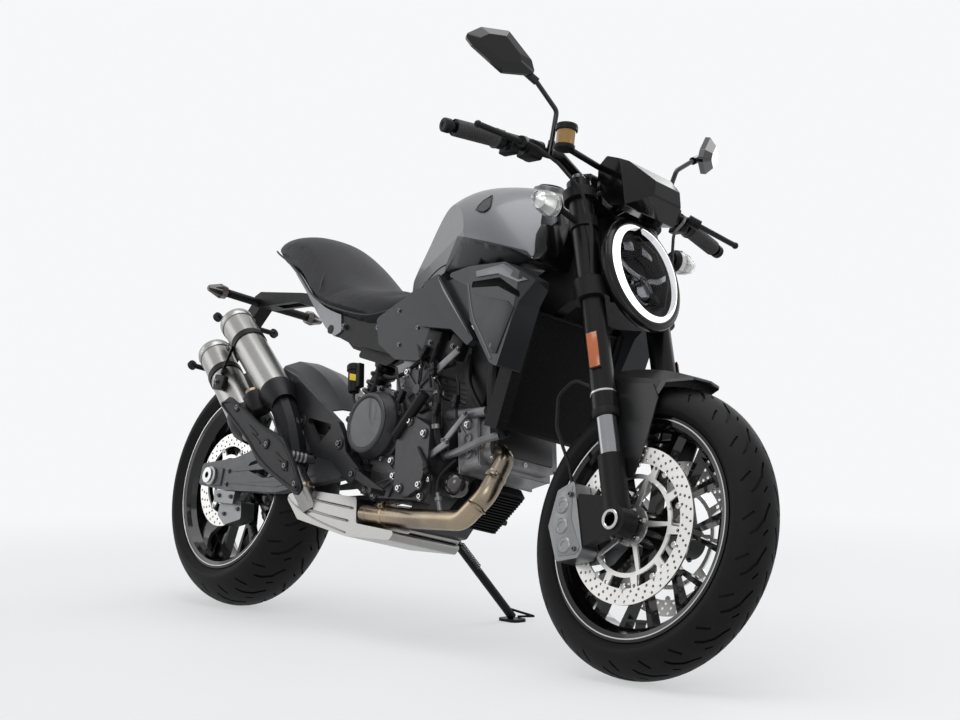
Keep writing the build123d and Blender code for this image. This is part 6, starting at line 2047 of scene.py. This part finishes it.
# ------------------------------------------------------------------ exhaust, drive and rear end
@dataclass
class Exhaust:
    """Clamps, welds, silencer ends, straps and the heat shield's screws."""

    upper: tuple[Point, Point] = ((46, -178, 708), (330, -196, 524))
    lower: tuple[Point, Point] = ((-24, -182, 626), (236, -200, 440))
    pipe: float = 22.5

    def band(self, bench: Bench, place: Point, way: Point, radius: float,
             width: float = 12.0) -> Piece:
        """A clamp band with its ear and screw."""
        ring = bench.lathe([
            (radius - 1, -width / 2), (radius + 2.2, -width / 2), (radius + 3.0, 0),
            (radius + 2.2, width / 2), (radius - 1, width / 2)], 40, True)
        ear = bench.brick((radius, radius + 13), (-7, 7), -width / 2, width, 1.5)
        screw = bench.plant(bench.bolt(3.6, 5.0), (radius + 8, 7, 0), LEFT)
        return bench.plant(bench.join(ring, ear, screw), place, way, 2.2)

    def bead(self, bench: Bench, place: Point, way: Point) -> Piece:
        """A weld bead round a header pipe."""
        ring = bench.lathe([(self.pipe + out, z) for out, z in (
            (-1, -2), (1.3, -1.2), (1.6, 0), (1.3, 1.2), (-1, 2))], 40, True)
        return bench.plant(ring, place, way)

    def build(self, bench: Bench) -> None:
        """Model the exhaust's fittings from the head to the tail pipes."""
        bands = [self.band(bench, (1087, -96, 372), (0, 0.4, 1), self.pipe),
                 self.band(bench, (757, -118, 262), (1, 0, 0), self.pipe, 14),
                 self.band(bench, (452, -152, 302), (-0.3, 0.3, 0.9), 26.0, 12)]
        bench.deliver(bands, "exhaust_clamps", Look.HEADER, CHASSIS)
        beads = [self.bead(bench, (1076, -122, 302), (0.45, 0.2, 0.8)),
                 self.bead(bench, (700, -118, 262), (1, 0, 0)),
                 self.bead(bench, (1052, -68, 428), (1, -0.2, -0.3))]
        flange = bench.slab(
            [(1020, -100, 408), (1036, -104, 462), (1036, -22, 470), (1020, -18, 416)], (7, 0, -2),
            3.0)
        nuts = bench.scatter(
            bench.bolt(6.0, 8.0, hexagon=True), [(1034, -94, 436), (1034, -30, 440)], (1, 0, -0.2))
        bench.deliver([*beads, flange], "header_welds", Look.HEADER, CHASSIS)
        bench.deliver(nuts, "header_nuts", Look.BOLT, CHASSIS, 25)
        self.silencers(bench)
        self.box(bench)
        self.shield(bench)
        self.guard(bench)

    def silencers(self, bench: Bench) -> None:
        """End caps, perforated cores, rivets and straps of both silencers."""
        caps, cores, rivets, straps = [], [], [], []
        for start, end in (self.upper, self.lower):
            a, b = Vector(start), Vector(end)
            along = (b - a).normalized()
            frame = bench.aim(a, along)
            lip = bench.lathe([
                (29.8, -4), (34, -6.4), (43.6, -5), (44.4, -2), (44.4, 15), (43.2, 17), (42, 17),
                (42, -2), (31, -2), (31, 26), (29.8, 26)], 56, True)
            caps.append(bench.move(lip, frame))
            core = bench.lathe(
                [(29.6, 4), (29.6, 56), (0, 56), (0, 54), (27.8, 54), (27.8, 4)], 40, True)
            cores.append(bench.move(core, frame))
            rear = bench.lathe([(41.8, -14), (43.6, -13), (43.6, 3), (41.8, 4)], 56, True)
            caps.append(bench.plant(rear, b, along))
            rivet = bench.lathe([(0, 0), (2.6, 0), (2.2, 1.4), (0, 1.8)], 10)
            around = [Matrix.Rotation(n * math.tau / 10, 4, "Z") @ Matrix.Translation(
                (44.2, 0, 9)) @ Matrix.Rotation(QUARTER, 4, "Y") for n in range(10)]
            rivets.append(bench.move(bench.join(*bench.copies(rivet, around)), frame))
            strap = bench.lathe([(42.1, 96), (44.6, 96), (44.6, 116), (42.1, 116)], 56, True)
            straps.append(bench.move(strap, frame))
        bench.deliver(caps, "silencer_caps", Look.STEEL, CHASSIS)
        bench.deliver(cores, "silencer_cores", Look.SOOT, CHASSIS)
        bench.deliver(rivets, "silencer_rivets", Look.BRIGHT, CHASSIS)
        bracket = bench.slab(
            [(110, -216, 648), (128, -228, 640), (112, -236, 560), (92, -226, 566)], (-6, 12, 4),
            3.0)
        foot = bench.slab([
            (92, -240, 562), (150, -246, 556), (146, -246, 520), (92, -240, 522)], (0, 16, 0), 5.0)
        bench.deliver([*straps, bracket, foot], "silencer_straps", Look.CAST_BLACK, CHASSIS)
        screws = bench.scatter(
            bench.bolt(5.6, 5.0), [(116, -245, 540), (120, -233, 628)], (0, -1, 0.1))
        bench.deliver(screws, "silencer_screws", Look.BOLT, CHASSIS)
        valve = bench.lathe([(0, 0), (27, 0), (30, 4), (30, 48), (26, 54), (0, 54)], 32)
        frame = bench.aim((300, -214, 470), (-0.45, -0.28, 0.85))
        neck = bench.lathe([(0, 52), (15, 52), (15, 58), (19, 58), (19, 64), (0, 66)], 10)
        bench.deliver(bench.move(valve, frame), "exhaust_valve_housing", Look.PLASTIC, CHASSIS)
        bench.deliver(bench.move(neck, frame), "exhaust_valve_cap", Look.HEADER, CHASSIS)

    def box(self, bench: Bench) -> None:
        """Pressed ribs and the seam along the collector box."""
        ribs = [bench.hose([(430, -141, 262), (520, -142, 248), (640, -142, 240)], 3.0),
                bench.hose([(440, -141, 285), (540, -142, 276), (650, -142, 270)], 3.0),
                bench.hose([(380, -139, 280), (440, -141, 240), (640, -141, 212)], 2.0)]
        bench.deliver(ribs, "collector_ribs", Look.STEEL, CHASSIS)

    def guard(self, bench: Bench) -> None:
        """Black covers wrapped over the cones and link pipes behind the silencers."""
        cones = []
        for (start, end), back, tip in ((self.upper, -6, 50), (self.lower, -40, 40)):
            a, b = Vector(start), Vector(end)
            cone = bench.lathe([(45.4, back), (45.4, 4), (30.4, tip), (29.0, tip), (44.0, 3),
                                (44.0, back)], 40, True)
            cones.append(bench.plant(cone, b, (b - a).normalized()))
        pipe = bench.hose([
            (340, -195, 515), (376, -190, 474), (400, -184, 436), (424, -177, 380),
            (434, -172, 348)], 32.0, 3)
        bench.deliver([cones[0], pipe, cones[1]], "link_pipe_guards", Look.SHIELD, CHASSIS)

    def shield(self, bench: Bench) -> None:
        """Raised rim, slots and allen screws of the heat shield."""
        rim = [(190, 482), (218, 494), (298, 466), (372, 434), (486, 399), (544, 352),
               (598, 294), (590, 280), (412, 344), (338, 400), (192, 478)]
        loop = bench.hose([(x, -260.2, z) for x, z in rim], 3.4)
        slots = [bench.plate(
            [(x, z), (x + 46, z - 22), (x + 50, z - 17), (x + 4, z + 5)], -262.2, -260, 1.0, 1)
                 for x, z in ((330, 428), (350, 408), (470, 366), (488, 348))]
        bench.deliver([loop, *slots], "heat_shield_rim", Look.SHIELD, CHASSIS)
        cups = bench.lathe([(8, 0), (13, 0), (12.4, 3), (8, 3)], 24, True)
        places = [(262, -260, 474), (425, -260, 388), (520, -260, 340), (576, -260, 300)]
        bench.deliver(
            bench.scatter(cups, places, RIGHT), "heat_shield_cups", Look.PLASTIC, CHASSIS)
        bench.deliver(bench.scatter(
            bench.bolt(6.4, 3.2), places, RIGHT), "heat_shield_screws", Look.BOLT, CHASSIS)


@dataclass
class Chain:
    """Roller chain laid link by link round both sprockets."""

    front: Point = (640.0, 392.0, 36.0)
    rear: Point = (0.0, 315.0, 105.0)
    middle: float = 104.0
    links: int = 112
    pin: float = 7.6

    def track(self) -> list[Point]:
        """Place and heading of each link's middle along the loop."""
        fx, fz, fr = self.front
        rx, rz, rr = self.rear
        base = math.atan2(fz - rz, fx - rx)
        span = math.hypot(fx - rx, fz - rz)
        lift = math.acos((rr - fr) / span)
        run = math.sqrt(span ** 2 - (rr - fr) ** 2)
        wrap_rear, wrap_front = rr * (math.tau - 2 * lift), fr * 2 * lift
        total = 2 * run + wrap_rear + wrap_front
        places = []
        for n in range(self.links):
            s = total * n / self.links
            if s < run:
                angle, x, z, reach, way = base + lift, rx, rz, rr, s
            elif s < run + wrap_front:
                angle, x, z, reach, way = base + lift - (s - run) / fr, fx, fz, fr, 0.0
            elif s < 2 * run + wrap_front:
                angle, x, z, reach, way = base - lift, fx, fz, fr, s - run - wrap_front
            else:
                angle = base - lift - (s - 2 * run - wrap_front) / rr
                x, z, reach, way = rx, rz, rr, 0.0
            heading = angle - QUARTER
            places.append((x + reach * math.cos(angle) + way * math.cos(heading),
                           z + reach * math.sin(angle) + way * math.sin(heading), heading))
        return places

    def link(self, bench: Bench, inner: bool) -> Piece:
        """One link: two waisted plates with their pins or rollers."""
        half, out = (4.6, 1.6) if inner else (6.3, 1.5)
        shape = [(-11, -5), (-6, -6.4), (0, -4.6), (6, -6.4), (11, -5), (12.4, 0), (11, 5),
                 (6, 6.4), (0, 4.6), (-6, 6.4), (-11, 5), (-12.4, 0)]
        parts = [bench.plate(shape, side * half, side * (half + out)) for side in SIDES]
        for x in (-self.pin, self.pin):
            reach, radius = (4.6, 4.6) if inner else (8.0, 2.6)
            parts.append(bench.rod((x, -reach, 0), (x, reach, 0), radius, sides=10))
        return bench.join(*parts)

    def build(self, bench: Bench) -> None:
        """Lay inner and outer links in turn."""
        spots = self.track()
        frames = [Matrix.Translation(
            (x, self.middle, z)) @ Matrix.Rotation(-turn, 4, "Y") for x, z, turn in spots]
        inner = bench.join(*bench.copies(self.link(bench, True), frames[::2]))
        outer = bench.join(*bench.copies(self.link(bench, False), frames[1::2]))
        piece = bench.deliver([inner, outer], "chain_links", Look.CHAIN, CHASSIS)
        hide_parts("drive_chain")


@dataclass
class RearEnd:
    """Axle nuts, adjusters, shock spring, reservoir, pegs, screws and the stand's spring."""

    ridges: int = 8
    ridge_pitch: float = 10.0

    def build(self, bench: Bench) -> None:
        """Model the rear end's fittings."""
        self.swingarm(bench)
        self.shock(bench)
        self.reservoir(bench)
        self.rests(bench)
        self.stand(bench)

    def swingarm(self, bench: Bench) -> None:
        """Axle nut and collars, adjuster blocks, caliper fittings and hugger screws."""
        axle = REAR_AXLE[2]
        collar = bench.lathe([(8.2, 0), (24, 0), (24, 4), (20, 7), (20, 13), (8.2, 13)], 40, True)
        bench.plant(collar, (0, -136, axle), RIGHT)
        nut = bench.plant(bench.bolt(17.0, 8.0, hexagon=True), (0, 147, axle), LEFT)
        bench.deliver([collar, nut], "rear_axle_nut", Look.BRIGHT, CHASSIS)
        blocks, screws = [], []
        for side, face in ((-1, -128.0), (1, 141.0)):
            blocks.append(bench.plate(
                [(-58, 292), (-58, 338), (46, 338), (46, 292)], face, face + side * 5, 3.0))
            for outline in (((80, 330), (230, 344), (400, 366), (420, 380), (240, 368)), (
                    (84, 300), (300, 302), (470, 342), (300, 316))):
                blocks.append(bench.plate(outline, face, face + side * 2.2, 1.0, 1))
            inside = face - side * 12
            screws.append(bench.rod((-74, inside, axle), (-58, inside, axle), 4.5, sides=12))
            screws.append(bench.scatter(bench.bolt(5.5, 4.5), [
                (70, face + side * 0.4, 332), (70, face + side * 0.4, 298)], (0, side, 0)))
        adjusters = bench.join(*blocks)
        for y, far in ((-170, 200), (125, 60)):
            bore = bench.lathe([(0, -20), (24.6, -20), (24.6, far), (0, far)], 40)
            bench.cut(adjusters, bench.plant(bore, (0, y, axle), LEFT))
        bench.deliver(adjusters, "chain_adjusters", Look.GREY_CAST, CHASSIS)
        caliper = bench.scatter(bench.bolt(5.0, 5.0), [
            (52, -106, 224), (112, -106, 240), (40, -124, 268), (96, -124, 268)], RIGHT)
        line = bench.hose([
            (126, -100, 262), (180, -120, 300), (260, -96, 330), (380, -92, 372), (470, -94, 402),
            (530, -98, 470)], 3.6)
        bench.deliver([*screws, caliper], "swingarm_screws", Look.BOLT, CHASSIS)
        bench.deliver(line, "rear_brake_line", Look.HOSE, CHASSIS)
        hugger = bench.scatter(
            bench.bolt(5.0, 3.6), [(300, -103.6, 440), (304, -103.6, 520)], RIGHT)
        bench.deliver(hugger, "hugger_screws", Look.BOLT, CHASSIS)

    def shock(self, bench: Bench) -> None:
        """Damper body, spring seats and the coil between them."""
        low, high = Vector((438, -20, 486)), Vector((520, -20, 640))
        length = (high - low).length
        frame = bench.aim(low, (high - low).normalized())
        body = bench.lathe([
            (0, -60), (15, -60), (16, 0), (33, 0), (33, 6), (20, 8), (20, 96), (24, 100),
            (24, 150), (33, length - 12), (33, length - 4), (18, length), (17, length + 22),
            (0, length + 22)], 32)
        bench.deliver(bench.move(body, frame), "shock_damper", Look.FORK, CHASSIS)
        coil = bench.coil(27.0, 5.6, 8, length - 22, 6.5, 12)
        piece = bench.deliver(bench.move(coil, frame), "shock_spring", Look.SPRING, CHASSIS)
        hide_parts("rear_shock")

    def reservoir(self, bench: Bench) -> None:
        """Rear brake reservoir with its bracket, tag and hose."""
        frame = bench.aim((548, -126, 546), (-0.3, 0, 1))
        cup = bench.lathe(
            [(0, 0), (13, 0), (15, 8), (15, 52), (18, 54), (18, 66), (15, 70), (0, 70)], 24)
        arm = bench.brick((-8, 8), (14, 30), 6, 60, 2.0)
        bench.deliver(
            bench.move(bench.join(cup, arm), frame), "rear_reservoir", Look.PLASTIC, CHASSIS)
        face = Vector((0.63, -0.77, 0.0))
        spot = Vector((539, -126, 580)) + face * 14.4
        wide, tall = Vector((6.2, 5.0, 0.0)), Vector((-2.4, 0.0, 8.0))
        tag = bench.slab(
            [spot - wide - tall, spot + wide - tall, spot + wide + tall, spot - wide + tall],
            face * 3.0, 0.8, 1)
        bench.deliver(tag, "reservoir_tag", Look.YELLOW, CHASSIS)
        line = bench.hose([
            (548, -126, 548), (560, -134, 520), (600, -136, 520), (630, -124, 560),
            (610, -116, 610)], 4.0)
        bench.deliver(line, "rear_reservoir_hose", Look.HOSE, CHASSIS)

    def rests(self, bench: Bench) -> None:
        """Peg treads, hanger screws and the bracket bosses."""
        treads, screws, bosses = [], [], []
        for side in SIDES:
            a, b = Vector((490, side * 158, 372)), Vector((448, side * 254, 372))
            along = (b - a).normalized()
            profile = []
            for n in range(self.ridges):
                low = 22 + n * self.ridge_pitch
                profile += [(9.6, low), (12.2, low + 1.5), (12.2, low + 6), (9.6, low + 7.5)]
            profile += [(9.4, 102), (7.0, 102)]
            tread = bench.lathe([(7.0, 20), *profile], 20, True)
            treads.append(bench.plant(tread, a, along))
            face = side * (168.4 if side < 0 else 164.4)
            places = [(672, side * 172.2, 344), (590, face, 414), (420, face, 462)]
            if side < 0:
                places += [(330, face, 556), (180, face, 570)]
            screws.append(bench.scatter(bench.bolt(6.6, 6.0), places, (0, side, 0)))
            ring = bench.lathe([(9.5, 0), (15.5, 0), (14.5, 3), (9.5, 3)], 24, True)
            bosses.append(bench.scatter(ring, places, (0, side, 0)))
        bench.deliver(treads, "footpeg_treads", Look.ALLOY, CHASSIS)
        bench.deliver(screws, "hanger_screws", Look.BOLT, CHASSIS)
        bench.deliver(bosses, "hanger_bosses", Look.HANGER, CHASSIS)

    def stand(self, bench: Bench) -> None:
        """Return spring, hook and the shoe's tab, which fold with the stand."""
        top, foot = Vector((656, 165, 254)), Vector((682, 384, 96))
        along = (foot - top).normalized()
        ahead = Vector((1, 0, 0))
        high, low = top + along * 20 + ahead * 16, top + along * 96 + ahead * 14
        coil = bench.coil(5.5, 1.5, 0, (low - high).length, 13, 8, 1)
        bench.plant(coil, high, low - high)
        ends = [bench.hose([top + ahead * 17, high], 2.0), bench.hose(
            [low, low + along * 8, low + along * 14 - ahead * 7], 2.0)]
        bench.deliver([coil, *ends], "stand_spring", Look.BOLT, STAND)
        out, lift = Vector((0.55, 0.81, 0.194)), Vector((0, -0.233, 0.972)) * 3.5
        path = [foot - along * 34, foot - along * 25 + out * 12, foot + out * 46 + lift,
                foot + out * 42 + lift, foot + out * 4 + lift]
        bench.deliver(bench.hose(path, 3.0), "stand_tab", Look.CAST_BLACK, STAND)


def build_rear(bench: Bench) -> None:
    """Model the exhaust's fittings, the chain and the rear end."""
    Exhaust().build(bench)
    Chain().build(bench)
    RearEnd().build(bench)


def main() -> None:
    """Build the studio and every sub-assembly, in order."""
    logging.basicConfig(level=logging.INFO, format="%(name)s: %(message)s")
    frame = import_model()
    stance = Stance(frame["joints"])
    Studio().build(stance)
    dress_nodes(frame["nodes"])
    bench = Bench(stance, frame["nodes"])
    build_wheels(bench)
    build_front(bench)
    build_body(bench)
    build_engine(bench)
    build_rear(bench)


if __name__ == "__main__":
    main()
